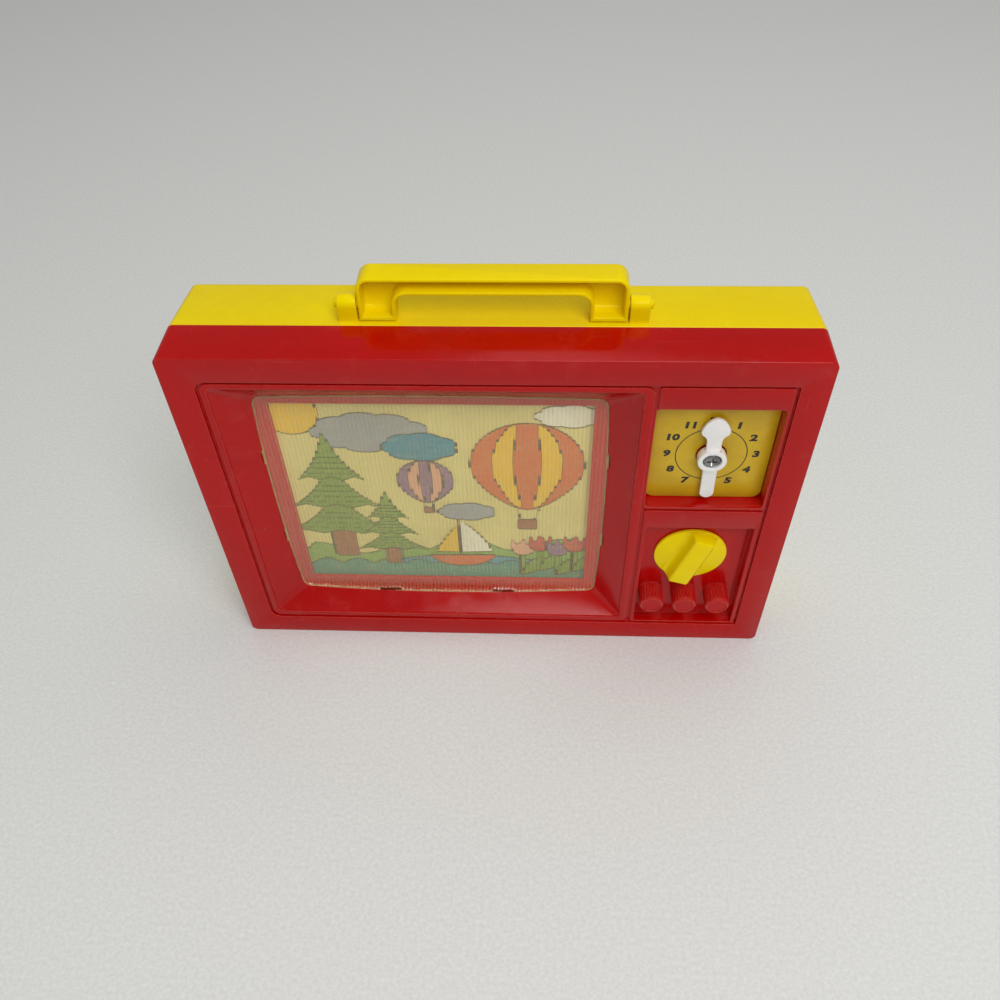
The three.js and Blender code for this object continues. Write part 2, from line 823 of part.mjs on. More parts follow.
function frontBosses() {
  const caseBosses = caseScrewPlaces.map(([x, z]) =>
    placed(rodAlongY(caseBossRadius, atDepth(caseWall / 2), atDepth(seamDepth), shaftFacets), x, 0, z));
  const carrierBosses = carrierScrewPlaces.map(([x, z]) =>
    placed(
      rodAlongY(movementBossRadius, atDepth(panelStep), atDepth(carrierFrontDepth - seatGap), shaftFacets),
      x,
      0,
      z,
    ));
  const movementBosses = movementScrewPlaces.map(([x, z]) =>
    placed(
      rodAlongY(movementBossRadius, atDepth(recessFloorDepth + floorThickness / 2),
        atDepth(bedPlateFrontDepth - seatGap), shaftFacets),
      windX + x, 0, windZ + z,
    ));
  const handBoss = placed(
    rodAlongY(handBossRadius, atDepth(handBossTop), atDepth(dialFloorBack + handScrewLength / 2)),
    clockX, 0, clockZ,
  );
  return join(...caseBosses, ...carrierBosses, ...movementBosses, handBoss);
}

function pilotHoles() {
  const pilot = (x, z, radius, from, to) => placed(
    rodAlongY(radius, atDepth(from), atDepth(to), smallFacets), x, 0, z,
  );
  const smallHole = smallScrewShankRadius + runningGap;
  const caseHoles = caseScrewPlaces.map(([x, z]) =>
    pilot(x, z, caseScrewHole, caseWall * 2, seamDepth + overrun));
  const carrierHoles = carrierScrewPlaces.map(([x, z]) =>
    pilot(x, z, smallHole, carrierTabBack - smallScrewLength - seatGap, carrierFrontDepth + overrun));
  const movementHoles = movementScrewPlaces.map(([x, z]) =>
    pilot(
      windX + x,
      windZ + z,
      smallHole,
      movementDepth - smallScrewLength - seatGap,
      bedPlateFrontDepth + overrun,
    ));
  const handHole = pilot(
    clockX, clockZ, handScrewShankRadius + runningGap,
    handBossTop - overrun, handScrewSeat + handScrewLength + seatGap,
  );
  return [...caseHoles, ...carrierHoles, ...movementHoles, handHole];
}

function flutedOutline(radius, groove, flutes) {
  const points = [];
  for (let flute = 0; flute < flutes; flute++) {
    const crest = ((flute + fluteShares.crest) / flutes) * Math.PI * 2;
    const valley = ((flute + fluteShares.valley) / flutes) * Math.PI * 2;
    points.push([radius * Math.cos(crest), radius * Math.sin(crest)]);
    points.push([(radius - groove) * Math.cos(valley), (radius - groove) * Math.sin(valley)]);
  }
  return outline(points);
}

function dummyKnob(x) {
  const face = recessFloorDepth - dummyKnobLength;
  const body = plate(
    flutedOutline(dummyKnobRadius, dummyKnobGroove, dummyKnobFlutes),
    atDepth(face), atDepth(recessFloorDepth + floorThickness / 2),
  );
  const dip = rodAlongY(
    dummyKnobRadius - dummyKnobFaceRim, atDepth(face - overrun), atDepth(face + dummyKnobFaceDip),
  );
  const hollow = rodAlongY(
    dummyKnobRadius - dummyKnobWall,
    atDepth(face + dummyKnobWall), atDepth(recessFloorBack + overrun), shaftFacets,
  );
  return { body: placed(cut(body, dip), x, 0, dummyKnobZ), hollow: placed(hollow, x, 0, dummyKnobZ) };
}

function frontCase() {
  const knobs = dummyKnobXs.map(dummyKnob);
  const boss = placed(
    rodAlongY(handBossRadius, atDepth(handBossTop), atDepth(dialFloorBack)), clockX, 0, clockZ,
  );
  const windHole = placed(
    rodAlongY(windSleeveRadius + runningGap, atDepth(0), atDepth(recessFloorBack + overrun)), windX, 0, windZ,
  );
  const shell = cut(
    join(frontShell(), surroundBlock(), dialWell(), knobWell(), frontBosses()),
    plate(roundedShape(screenRim, screenRimRadius), atDepth(-overrun), atDepth(panelStep)),
    block(dialPanel, atDepth(-overrun), atDepth(panelStep)),
    block(knobPanel, atDepth(-overrun), atDepth(panelStep)),
    block(dialOpening, atDepth(0), atDepth(dialFloorDepth)),
    block(knobRecess, atDepth(0), atDepth(recessFloorDepth)),
    surroundHollow(),
    ...clipPockets(),
  );
  return cut(
    join(shell, boss, ...knobs.map((knob) => knob.body)),
    windHole,
    ...knobs.map((knob) => knob.hollow),
    ...pilotHoles(),
  );
}

function screenLens() {
  const pane = loftAlongY([
    { y: atDepth(lensFrontDepth), points: lensLoop(0) },
    { y: atDepth(lensBackDepth), points: lensLoop(0) },
  ]);
  const clips = [...sideClipBoxes(clipReach, 0), ...lowClipBoxes(clipReach, 0)];
  const frontOfClips = lensFrontDepth + lensThickness / 3;
  return join(pane, ...clips.map((box) => block(box, atDepth(frontOfClips), atDepth(lensBackDepth))));
}

function rearSection(depth, inset, wall) {
  const share = (depth - seamDepth) / rearCaseDepth;
  const side = halfWidth - rearSideDraft * share - inset - wall;
  const top = caseHeight - rearTopDraft * share - inset - wall;
  const radius = Math.max(caseCornerRadius - wall, caseCornerRadius / 3);
  return { y: atDepth(depth), points: loop(span(-side, side, inset + wall, top), radius) };
}

function rearShell() {
  const outer = loftAlongY([
    rearSection(seamDepth + seatGap, 0, 0),
    rearSection(caseDepth - rearEdgeRound, 0, 0),
    rearSection(caseDepth - rearEdgeRound * roundShare, rearEdgeRound * roundShare, 0),
    rearSection(caseDepth, rearEdgeRound, 0),
  ]);
  const inner = loftAlongY([
    rearSection(seamDepth - overrun, 0, caseWall),
    rearSection(caseDepth - caseWall, 0, caseWall),
  ]);
  return cut(outer, inner);
}

// A lip that stands inside the front case round the seam
function rearLip() {
  const outside = grown(span(-halfWidth, halfWidth, 0, caseHeight), -caseWall - seatGap);
  const inside = grown(outside, -lipWall);
  const front = atDepth(seamDepth - lipHeight);
  const back = atDepth(seamDepth + lipHeight);
  const ring = cut(block(outside, front, back), block(inside, front - overrun, back + overrun));
  const keep = loftAlongY([
    { y: front, points: loop(outside, caseCornerRadius / 3) },
    { y: atDepth(seamDepth), points: loop(outside, caseCornerRadius / 3) },
    rearSection(seamDepth + seatGap, 0, caseWall / 2),
    rearSection(seamDepth + lipHeight, 0, caseWall / 2),
  ]);
  return ring.intersect(keep);
}

function lugShape() {
  const shape = new THREE.Shape();
  const foot = -pivotHeight - caseWall / 2;
  shape.moveTo(-lugRadius, foot);
  shape.lineTo(lugRadius, foot);
  shape.lineTo(lugRadius, 0);
  shape.absarc(0, 0, lugRadius, 0, Math.PI);
  shape.closePath();
  return shape;
}

const lugInner = handleBaseHalf + runningGap * 2;
const lugOuter = lugInner + lugThickness;

function handleLugs() {
  const bore = rodAlongX(
    handlePinRadius + runningGap, -lugOuter - overrun, lugOuter + overrun, shaftFacets,
  );
  const pair = join(
    sideways(lugShape(), -lugOuter, -lugInner, smallFacets),
    sideways(lugShape(), lugInner, lugOuter, smallFacets),
  );
  return placed(cut(pair, bore), 0, pivotY, pivotZ);
}

function rearPillars() {
  return caseScrewPlaces.map(([x, z]) =>
    placed(
      rodAlongY(caseBossRadius, atDepth(seamDepth + seatGap), atDepth(caseDepth - caseWall / 2), shaftFacets), x, 0, z,
    ));
}

function pillarHoles() {
  return caseScrewPlaces.flatMap(([x, z]) => [
    placed(
      rodAlongY(screwWellRadius, atDepth(screwShoulderDepth), atDepth(caseDepth + overrun), shaftFacets),
      x,
      0,
      z,
    ),
    placed(
      rodAlongY(caseScrewHole, atDepth(seamDepth - overrun), atDepth(caseDepth), smallFacets), x, 0, z,
    ),
  ]);
}

function slotShape(box) {
  const radius = (box.right - box.left) / 2;
  const middle = (box.right + box.left) / 2;
  const shape = new THREE.Shape();
  shape.moveTo(box.left, box.bottom + radius);
  shape.absarc(middle, box.bottom + radius, radius, Math.PI, Math.PI * 2);
  shape.lineTo(box.right, box.top - radius);
  shape.absarc(middle, box.top - radius, radius, 0, Math.PI);
  shape.closePath();
  return shape;
}

function soundSlots() {
  const first = windX - ((soundSlotCount - 1) * soundSlotPitch) / 2;
  const halfWide = soundSlotWidth / 2;
  const halfLong = soundSlotLength / 2;
  const z = windZ + soundSlotRise;
  return Array.from({ length: soundSlotCount }, (_, index) => {
    const x = first + index * soundSlotPitch;
    const slot = slotShape(span(x - halfWide, x + halfWide, z - halfLong, z + halfLong));
    return plate(slot, atDepth(caseDepth - caseWall - overrun), atDepth(caseDepth + overrun));
  });
}

function rearCase() {
  const body = join(rearShell(), rearLip(), handleLugs(), ...rearPillars());
  return cut(body, ...pillarHoles(), ...soundSlots());
}

// Carrying handle, about its pivot axis

function handleOutline(inset) {
  const baseHalf = handleBaseHalf - inset;
  const topHalf = handleTopHalf - inset;
  const innerHalf = handleBaseHalf - handleLegWidth + inset;
  const foot = -handleFootDrop + inset;
  const top = handleRise - inset;
  const underside = handleRise - handleGripHeight + inset;
  const outerRadius = handleOuterRadius - inset;
  const innerRadius = handleInnerRadius + inset;
  const shape = new THREE.Shape();
  shape.moveTo(-baseHalf, foot);
  shape.lineTo(-innerHalf, foot);
  shape.lineTo(-innerHalf, underside - innerRadius);
  shape.absarc(-innerHalf + innerRadius, underside - innerRadius, innerRadius, Math.PI, Math.PI / 2, true);
  shape.lineTo(innerHalf - innerRadius, underside);
  shape.absarc(innerHalf - innerRadius, underside - innerRadius, innerRadius, Math.PI / 2, 0, true);
  shape.lineTo(innerHalf, foot);
  shape.lineTo(baseHalf, foot);
  shape.lineTo(topHalf, top - outerRadius);
  shape.absarc(topHalf - outerRadius, top - outerRadius, outerRadius, 0, Math.PI / 2);
  shape.lineTo(-topHalf + outerRadius, top);
  shape.absarc(-topHalf + outerRadius, top - outerRadius, outerRadius, Math.PI / 2, Math.PI);
  shape.closePath();
  return shape;
}

// The handle seen from its side: square at the front of its foot and round behind it, so that it folds only back
function handleProfile(inset) {
  const shape = new THREE.Shape();
  const radius = handleFootDrop - inset;
  const front = -handleFrontReach - (inset ? overrun : 0);
  shape.moveTo(front, -radius);
  shape.lineTo(0, -radius);
  const backFoot = Math.min(handleBackReachFoot - inset, radius);
  const stop = Math.asin(backFoot / radius);
  shape.absarc(0, 0, radius, -Math.PI / 2, -Math.PI / 2 + stop);
  shape.lineTo(handleBackReachTop - inset, handleRise);
  shape.lineTo(front, handleRise);
  shape.closePath();
  return shape;
}

function handlePin(side) {
  const inner = handleBaseHalf - handleWall;
  const shoulder = lugOuter + handlePinTip - handlePinRadius / 2;
  const points = [
    new THREE.Vector2(0, inner),
    new THREE.Vector2(handlePinRadius, inner),
    new THREE.Vector2(handlePinRadius, shoulder),
    new THREE.Vector2(
      handlePinRadius * pinCapShares.radius, shoulder + handlePinRadius * pinCapShares.height,
    ),
    new THREE.Vector2(0, lugOuter + handlePinTip),
  ];
  const geometry = new THREE.LatheGeometry(points, shaftFacets);
  geometry.rotateZ((-side * Math.PI) / 2);
  return solid(geometry);
}

function carryHandle() {
  const half = handleBaseHalf + overrun;
  const body = plate(handleOutline(0), -handleFrontReach, handleBackReachTop).intersect(
    sideways(handleProfile(0), -half, half, bendFacets),
  );
  const channel = plate(handleOutline(handleWall), -handleFrontReach - overrun, handleBackReachTop).intersect(
    sideways(handleProfile(handleWall), -half, half, bendFacets),
  );
  return join(cut(body, channel), handlePin(1), handlePin(-1));
}

// Clock, about the clock centre

function handBlade() {
  const neck = handNeckWidth / 2;
  const wide = handHeadWidth / 2;
  const tail = handTailWidth / 2;
  const { hollow, lift, dip, brow, point, drop } = spadeShares;
  const shape = new THREE.Shape();
  const shoulder = handNeckLength + wide * spadeShares.shoulder;
  shape.moveTo(-tail, -handTailLength + tail);
  shape.absarc(0, -handTailLength + tail, tail, Math.PI, Math.PI * 2);
  shape.lineTo(neck, handNeckLength - wide * spadeShares.shoulder);
  const base = handNeckLength + wide * lift;
  const widest = shoulder + wide * lift;
  shape.quadraticCurveTo(neck, handNeckLength, wide * hollow, base);
  shape.quadraticCurveTo(wide, shoulder - wide * dip, wide * brow, widest);
  shape.quadraticCurveTo(wide * point, handHeadLength - wide * drop, 0, handHeadLength);
  shape.quadraticCurveTo(-wide * point, handHeadLength - wide * drop, -wide * brow, widest);
  shape.quadraticCurveTo(-wide, shoulder - wide * dip, -wide * hollow, base);
  shape.quadraticCurveTo(-neck, handNeckLength, -neck, handNeckLength - wide * spadeShares.shoulder);
  shape.closePath();
  return shape;
}

function clockHand() {
  const blade = plate(handBlade(), atDepth(handBladeDepth), atDepth(handBladeDepth + handBladeThickness));
  const hub = rodAlongY(handHubRadius, atDepth(handHubDepth), atDepth(handHubBack));
  const cup = rodAlongY(
    handScrewHeadRadius + runningGap, atDepth(handHubDepth - overrun), atDepth(handHubDepth + handCupDepth),
  );
  const hole = rodAlongY(
    handScrewShankRadius + runningGap, atDepth(handHubDepth - overrun), atDepth(handHubBack + overrun), smallFacets,
  );
  return cut(join(blade, hub), cup, hole).rotate([0, -handLean, 0]);
}

function clockDial() {
  const card = span(
    dialOpening.left + seatGap - clockX,
    dialOpening.right - seatGap - clockX,
    dialOpening.bottom + seatGap - clockZ,
    dialOpening.top - seatGap - clockZ,
  );
  const front = atDepth(dialCardDepth);
  const back = atDepth(dialCardDepth + dialCardThickness);
  return cut(
    plate(roundedShape(card, dialCardRadius), front, back),
    rodAlongY(dialHoleRadius, front - overrun, back + overrun),
  );
}

function clockGroup() {
  const group = groupAt(clockX, 0, clockZ);
  const screw = piece(
    'clock_hand_screw',
    screwSolid(handScrewHeadRadius, handScrewHeadHeight, handScrewShankRadius, handScrewLength),
    steel(),
  );
  screw.rotation.z = Math.PI;
  screw.position.y = atDepth(handScrewSeat);
  group.add(
    piece('clock_dial', clockDial(), dialCardFinish()),
    piece('clock_hand', clockHand(), whitePlastic()),
    screw,
  );
  return group;
}

// Winding knob, about the winding axis

function windBar() {
  const back = recessFloorDepth - seatGap - windDiscThickness / 2;
  const front = recessFloorDepth - seatGap - windDiscThickness - windBarHeight;
  const halfLong = windBarLength / 2;
  const halfWide = windBarWidth / 2;
  const radius = windBarDraft;
  const section = (depth, by) => ({
    y: atDepth(depth),
    points: loop(span(-halfWide - by, halfWide + by, -halfLong - by / 2, halfLong + by / 2), radius),
  });
  const bar = loftAlongY([
    section(front, -windBarDraft / 2),
    section(front + windBarDraft / 2, 0),
    section(back, windBarDraft),
  ]);
  return bar.rotate([0, windBarTilt, 0]);
}

function windKnob() {
  const discBack = recessFloorDepth - seatGap;
  const discFront = discBack - windDiscThickness;
  const sleeveBack = bedPlateFrontDepth - seatGap * 2;
  const bore = rodAlongY(
    windArborRadius + seatGap, atDepth(discFront - windBarHeight / 2), atDepth(sleeveBack + overrun), shaftFacets,
  );
  return cut(
    join(
      rodAlongY(windDiscRadius, atDepth(discFront), atDepth(discBack), largeFacets),
      rodAlongY(windSleeveRadius, atDepth(discFront), atDepth(sleeveBack)),
      windBar().intersect(rodAlongY(
        windDiscRadius, atDepth(-windBarHeight), atDepth(discBack), largeFacets,
      )),
    ),
    bore,
  );
}

function windGroup() {
  const group = groupAt(windX, 0, windZ);
  const arborFront = recessFloorDepth - windDiscThickness - windBarHeight / 2;
  const arborBack = movementDepth + barrelBack - barrelWall - seatGap * 2;
  const hub = springInnerRadius - seatGap;
  const hubFront = movementDepth + barrelStandOff + barrelCoverThickness + endPlay;
  const arbor = join(
    rodAlongY(windArborRadius, atDepth(arborFront), atDepth(arborBack), shaftFacets),
    rodAlongY(hub, atDepth(hubFront), atDepth(arborBack), shaftFacets),
  );
  group.add(piece('wind_knob', windKnob(), yellowPlastic()), piece('winding_arbor', arbor, steel()));
  return group;
}

// Music movement

function bedPlate() {
  const hole = shaftRadius + runningGap;
  const sheet = block(
    span(-bedPlateLeft, bedPlateRight, bedPlateBottom, bedPlateAbove), -bedPlateThickness, 0,
  );
  const lowerBracket = block(
    span(idler.x - bracketMargin, governorX + bracketMargin, lowerBracketBottom, lowerBracketTop),
    -bedPlateThickness / 2, idler.y + bracketMargin,
  );
  const upperBracket = block(
    span(-cylinderRadius, cylinderRadius, upperBracketBottom, upperBracketTop),
    -bedPlateThickness / 2, trainY + bracketMargin,
  );
  const riser = block(combRiser, -bedPlateThickness / 2, combFace - seatGap);
  const body = join(sheet, lowerBracket, upperBracket, riser);
  const arborHole = rodAlongY(
    windArborRadius + runningGap, -bedPlateThickness - overrun, overrun, shaftFacets,
  );
  const shaftHole = placed(
    rodAlongZ(hole, lowerBracketBottom - overrun, upperBracketTop + overrun, shaftFacets), 0, trainY, 0,
  );
  const idlerHole = placed(
    rodAlongZ(hole, lowerBracketBottom - overrun, lowerBracketTop + overrun, shaftFacets), idler.x, idler.y, 0,
  );
  const governorHole = placed(
    rodAlongZ(
      governorArborRadius + runningGap,
      lowerBracketBottom - overrun,
      lowerBracketTop + overrun,
      smallFacets,
    ),
    governorX, trainY, 0,
  );
  const wormHole = placed(
    rodAlongY(governorArborRadius + runningGap, -bedPlateThickness - overrun, overrun, smallFacets), wormX, 0, wormZ,
  );
  const screwHoles = movementScrewPlaces.map(([x, z]) =>
    placed(
      rodAlongY(smallScrewShankRadius + runningGap, -bedPlateThickness - overrun, overrun, smallFacets),
      x,
      0,
      z,
    ));
  const footHole = placed(
    rodAlongY(smallScrewShankRadius + runningGap, -bedPlateThickness - overrun, overrun, smallFacets),
    governorFoot.x, 0, governorFoot.z,
  );
  const combHoles = combScrewPlaces.map(([x, z]) =>
    placed(
      rodAlongY(
        smallScrewShankRadius + runningGap,
        combFace - smallScrewLength - seatGap,
        combFace + overrun,
        smallFacets,
      ),
      x, 0, z,
    ));
  return cut(
    body, arborHole, shaftHole, idlerHole, governorHole, wormHole, footHole, ...screwHoles, ...combHoles,
  );
}

function springBarrel() {
  const cup = cut(
    rodAlongY(barrelRadius, barrelStandOff, barrelBack, largeFacets),
    rodAlongY(barrelRadius - barrelWall, barrelStandOff - overrun, barrelBack - barrelWall, largeFacets),
  );
  const tooth = sideCrownTooth();
  const ring = Array.from({ length: crownTeeth }, (_, index) =>
    tooth.rotate([0, ((index + 0.5) * 360) / crownTeeth, 0]));
  return join(cup, ...ring);
}

// One crown tooth at the lower edge of the barrel, tapering towards its tip
function sideCrownTooth() {
  const pitch = Math.PI * crownModule;
  const inner = -barrelRadius + crownWidth;
  const outer = -barrelRadius;
  const narrow = Math.abs(inner) / crownPitchRadius;
  const wide = Math.abs(outer) / crownPitchRadius;
  const base = toothHalfShares.root * pitch;
  const tip = toothHalfShares.tip * pitch;
  const corners = (z, share) => [
    [base * share, barrelBack - barrelWall / 2, z],
    [-base * share, barrelBack - barrelWall / 2, z],
    [-tip * share, barrelBack + crownToothHeight, z],
    [tip * share, barrelBack + crownToothHeight, z],
  ];
  const vertices = [...corners(outer, wide), ...corners(inner, narrow)].flat();
  const faces = [
    0, 1, 2, 0, 2, 3, 4, 6, 5, 4, 7, 6,
    0, 5, 1, 0, 4, 5, 1, 6, 2, 1, 5, 6,
    2, 7, 3, 2, 6, 7, 3, 4, 0, 3, 7, 4,
  ];
  const geometry = new THREE.BufferGeometry();
  geometry.setAttribute('position', new THREE.Float32BufferAttribute(vertices, 3));
  geometry.setIndex(faces);
  return solid(geometry);
}

function barrelCover() {
  const radius = barrelRadius - barrelWall - seatGap;
  return cut(
    rodAlongY(radius, barrelStandOff, barrelStandOff + barrelCoverThickness, largeFacets),
    rodAlongY(
      windArborRadius + runningGap, 0, barrelStandOff + barrelCoverThickness + overrun, shaftFacets,
    ),
  );
}

// The wound spring strip, an unbroken spiral from the arbor out to the barrel wall
function mainspring() {
  const outerRadius = barrelRadius - barrelWall - seatGap - springStrip;
  const steps = springTurns * mediumFacets;
  const inside = [];
  const outside = [];
  for (let step = 0; step <= steps; step++) {
    const share = step / steps;
    const radius = springInnerRadius + (outerRadius - springInnerRadius) * share;
    const angle = share * springTurns * Math.PI * 2;
    inside.push([radius * Math.cos(angle), radius * Math.sin(angle)]);
    outside.push([(radius + springStrip) * Math.cos(angle), (radius + springStrip) * Math.sin(angle)]);
  }
  const front = barrelStandOff + barrelCoverThickness + endPlay;
  const back = barrelBack - barrelWall - endPlay;
  return plate(outline([...outside, ...inside.reverse()]), front, back);
}

function pinnedCylinder() {
  const drum = rodAlongZ(cylinderRadius, cylinderBottom, cylinderTop, mediumFacets);
  const pins = [];
  const half = cylinderPinWidth / 2;
  for (let row = 0; row < combTeeth; row++) {
    for (let index = 0; index < pinsPerRing; index++) {
      const tune = (row * pinRowStep + index * pinRingStep) % pinTurnSteps;
      const turn = tune / pinTurnSteps + index / pinsPerRing;
      const z = combCentreZ - combSpan / 2 + row * combPitch;
      const pin = block(span(0, cylinderRadius + cylinderPinHeight, z - half, z + half), -half, half);
      pins.push(pin.rotate([0, 0, turn * 360]));
    }
  }
  return cut(
    join(drum, ...pins),
    rodAlongZ(shaftRadius + seatGap, cylinderBottom - overrun, cylinderTop + overrun, shaftFacets),
  );
}

function musicComb() {
  const teeth = Array.from({ length: combTeeth }, (_, index) => {
    const z = combCentreZ - combSpan / 2 + index * combPitch;
    const half = combToothWidth / 2;
    return block(
      span(combTip, combBody.left + overrun, z - half, z + half), combFace, combFace + combThickness / 2,
    );
  });
  const body = block(combBody, combFace, combFace + combThickness);
  const holes = combScrewPlaces.map(([x, z]) =>
    placed(
      rodAlongY(
        smallScrewShankRadius + runningGap,
        combFace - overrun,
        combFace + combThickness + overrun,
        smallFacets,
      ),
      x, 0, z,
    ));
  return cut(join(body, ...teeth), ...holes);
}

const firstCylinderTooth = idler.angle;
const idlerTooth = meshedTooth(firstCylinderTooth, cylinderGearTeeth, idlerGearTeeth, idler.angle);
const rollerTooth = meshedTooth(idlerTooth, idlerGearTeeth, rollerGearTeeth, idlerToRollerAngle);
const governorTooth = meshedTooth(firstCylinderTooth, cylinderGearTeeth, governorPinionTeeth, 0);

function spurGear(teeth, firstTooth, boreRadius) {
  return cut(
    slab(gearShape(teeth, gearModule, firstTooth), localGearBottom, localGearTop),
    rodAlongZ(boreRadius, localGearBottom - overrun, localGearTop + overrun, shaftFacets),
  );
}

function cylinderPinion() {
  return cut(
    slab(gearShape(crownPinionTeeth, crownModule, -Math.PI / 2), pinionBottom, pinionTop),
    rodAlongZ(shaftRadius + seatGap, pinionBottom - overrun, pinionTop + overrun, shaftFacets),
  );
}

function governorWheel() {
  const base = governorBaseTop - governorStrip - endPlay;
  return join(
    slab(gearShape(governorPinionTeeth, gearModule, governorTooth), localGearBottom, localGearTop),
    slab(gearShape(wormWheelTeeth, wormModule, 0), wormWheelBottom, wormWheelTop),
    rodAlongZ(governorArborRadius, base, lowerBracketTop + endPlay, smallFacets),
  );
}

// The worm's thread is a ridge that climbs round the arbor, one pitch a turn
function governorWorm() {
  const pitch = Math.PI * wormModule;
  const length = pitch * wormTurns;
  const rows = wormTurns * wormRowsPerTurn;
  const start = trainY - length / 2;
  const sections = [];
  for (let row = 0; row <= rows; row++) {
    const y = start + (length * row) / rows;
    const points = [];
    for (let column = 0; column < shaftFacets; column++) {
      const angle = (column / shaftFacets) * Math.PI * 2;
      const turn = Math.atan2(Math.cos(angle), Math.sin(angle)) / (Math.PI * 2);
      const phase = (y - trainY) / pitch - turn + wormStartShare;
      const ridge = Math.abs(phase - Math.round(phase)) / wormCrestShare;
      const height = wormThreadHeight * Math.max(0, 1 - ridge);
      const radius = wormRootRadius + height;
      points.push([radius * Math.cos(angle), radius * Math.sin(angle)]);
    }
    sections.push({ y, points });
  }
  const fanBack = trainY - pitchRadius(wormWheelTeeth, wormModule) - wormModule * addendumShare - endPlay;
  const fanFront = fanBack - fanWidth;
  const half = fanThickness / 2;
  const arborFront = -bedPlateThickness + endPlay;
  return join(
    loftAlongY(sections),
    rodAlongY(governorArborRadius, arborFront, arborFront + governorArborLength, smallFacets),
    block(span(-fanRadius, fanRadius, -half, half), fanFront, fanBack),
    rodAlongY(wormRootRadius + half, fanFront, fanBack, smallFacets),
  );
}

function governorBracket() {
  const rear = -bedPlateThickness + endPlay + governorArborLength - endPlay * 2;
  const left = governorFoot.x - bracketMargin;
  const right = wormX + bracketMargin;
  const bottom = governorBaseTop - governorStrip;
  const base = block(span(left, right, bottom, governorBaseTop), seatGap, rear);
  const upright = block(
    span(wormX - bracketMargin, right, bottom, wormZ + bracketMargin), rear - governorStrip, rear,
  );
  const foot = block(
    span(left, governorFoot.x + bracketMargin - endPlay, bottom, governorFoot.z + bracketMargin),
    seatGap, seatGap + governorStrip,
  );
  return cut(
    join(base, upright, foot),
    placed(rodAlongZ(
      governorArborRadius + runningGap, bottom - overrun, governorBaseTop + overrun, smallFacets,
    ),
      governorX, trainY, 0),
    placed(rodAlongY(
      governorArborRadius + runningGap, rear - governorStrip - overrun, rear + overrun, smallFacets,
    ),
      wormX, 0, wormZ),
    placed(rodAlongY(smallScrewShankRadius + runningGap, -overrun, governorStrip + overrun, smallFacets),
      governorFoot.x, 0, governorFoot.z),
  );
}

// A pin that hangs from the lower bracket and carries the idler gear between its two heads
function idlerGearPin() {
  const head = shaftRadius + pinHeadRim;
  const low = localGearBottom - seatGap;
  const high = lowerBracketTop + seatGap;
  return join(
    rodAlongZ(shaftRadius, low - pinHeadHeight, high + pinHeadHeight, shaftFacets),
    rodAlongZ(head, low - pinHeadHeight, low, shaftFacets),
    rodAlongZ(head, high, high + pinHeadHeight, shaftFacets),
  );
}

function smallScrew(name, x, seatY, z) {
  return piece(
    name,
    screwSolid(smallScrewHeadRadius, smallScrewHeadHeight, smallScrewShankRadius, smallScrewLength),
    steel(), x, seatY + seatGap, z,
  );
}

function movementGroup() {
  const group = groupAt(windX, movementY, windZ);
  const shaft = rodAlongZ(shaftRadius, localGearBottom - endPlay, pinionTop + endPlay, shaftFacets);
  group.add(
    piece('movement_bed_plate', bedPlate(), castMetal()),
    piece('spring_barrel', springBarrel(), brass()),
    piece('barrel_cover', barrelCover(), brass()),
    piece('mainspring', mainspring(), steel()),
    piece('cylinder_shaft', shaft, steel(), 0, trainY, 0),
    piece('pinned_cylinder', pinnedCylinder(), brass(), 0, trainY, 0),
    piece('cylinder_pinion', cylinderPinion(), brass(), 0, trainY, 0),
    piece(
      'cylinder_gear',
      spurGear(cylinderGearTeeth, firstCylinderTooth, shaftRadius + seatGap),
      natural(),
      0,
      trainY,
      0,
    ),
    piece('music_comb', musicComb(), steel()),
    piece('governor_wheel', governorWheel(), natural(), governorX, trainY, 0),
    piece('governor_worm', governorWorm(), natural(), wormX, 0, wormZ),
    piece('governor_bracket', governorBracket(), brass()),
    piece(
      'idler_gear',
      spurGear(idlerGearTeeth, idlerTooth, shaftRadius + runningGap),
      natural(),
      idler.x,
      idler.y,
      0,
    ),
    piece('idler_gear_pin', idlerGearPin(), steel(), idler.x, idler.y, 0),
    smallScrew('governor_screw', governorFoot.x, seatGap + governorStrip, governorFoot.z),
  );
  combScrewPlaces.forEach(([x, z], index) =>
    group.add(smallScrew('comb_screw_' + (index + 1), x, combFace + combThickness, z)));
  movementScrewPlaces.forEach(([x, z], index) =>
    group.add(smallScrew('movement_screw_' + (index + 1), x, 0, z)));
  return group;
}

// Picture drive, about the rollers' axes

function stadium(radius) {
  const shape = new THREE.Shape();
  shape.moveTo(rollerLeftX, -radius);
  shape.lineTo(rollerRightX, -radius);
  shape.absarc(rollerRightX, 0, radius, -Math.PI / 2, Math.PI / 2);
  shape.lineTo(rollerLeftX, radius);
  shape.absarc(rollerLeftX, 0, radius, Math.PI / 2, Math.PI * 1.5);
  shape.closePath();
  return shape;
}

function pictureBand() {
  return cut(
    slab(stadium(bandOuterRadius), bandBottom, bandTop, shaftFacets),
    slab(stadium(bandOuterRadius - bandThickness), bandBottom - overrun, bandTop + overrun, shaftFacets),
  );
}

function roller() {
  const bore = shaftRadius + seatGap;
  const low = bandBottom - carrierRoom;
  const high = bandTop + carrierRoom;
  const flangeRadius = rollerRadius + rollerFlange;
  return turnedAlongZ([
    [bore, low - rollerFlangeWidth],
    [flangeRadius, low - rollerFlangeWidth],
    [flangeRadius, low],
    [rollerRadius, low],
    [rollerRadius, high],
    [flangeRadius, high],
    [flangeRadius, high + rollerFlangeWidth],
    [bore, high + rollerFlangeWidth],
  ]);
}

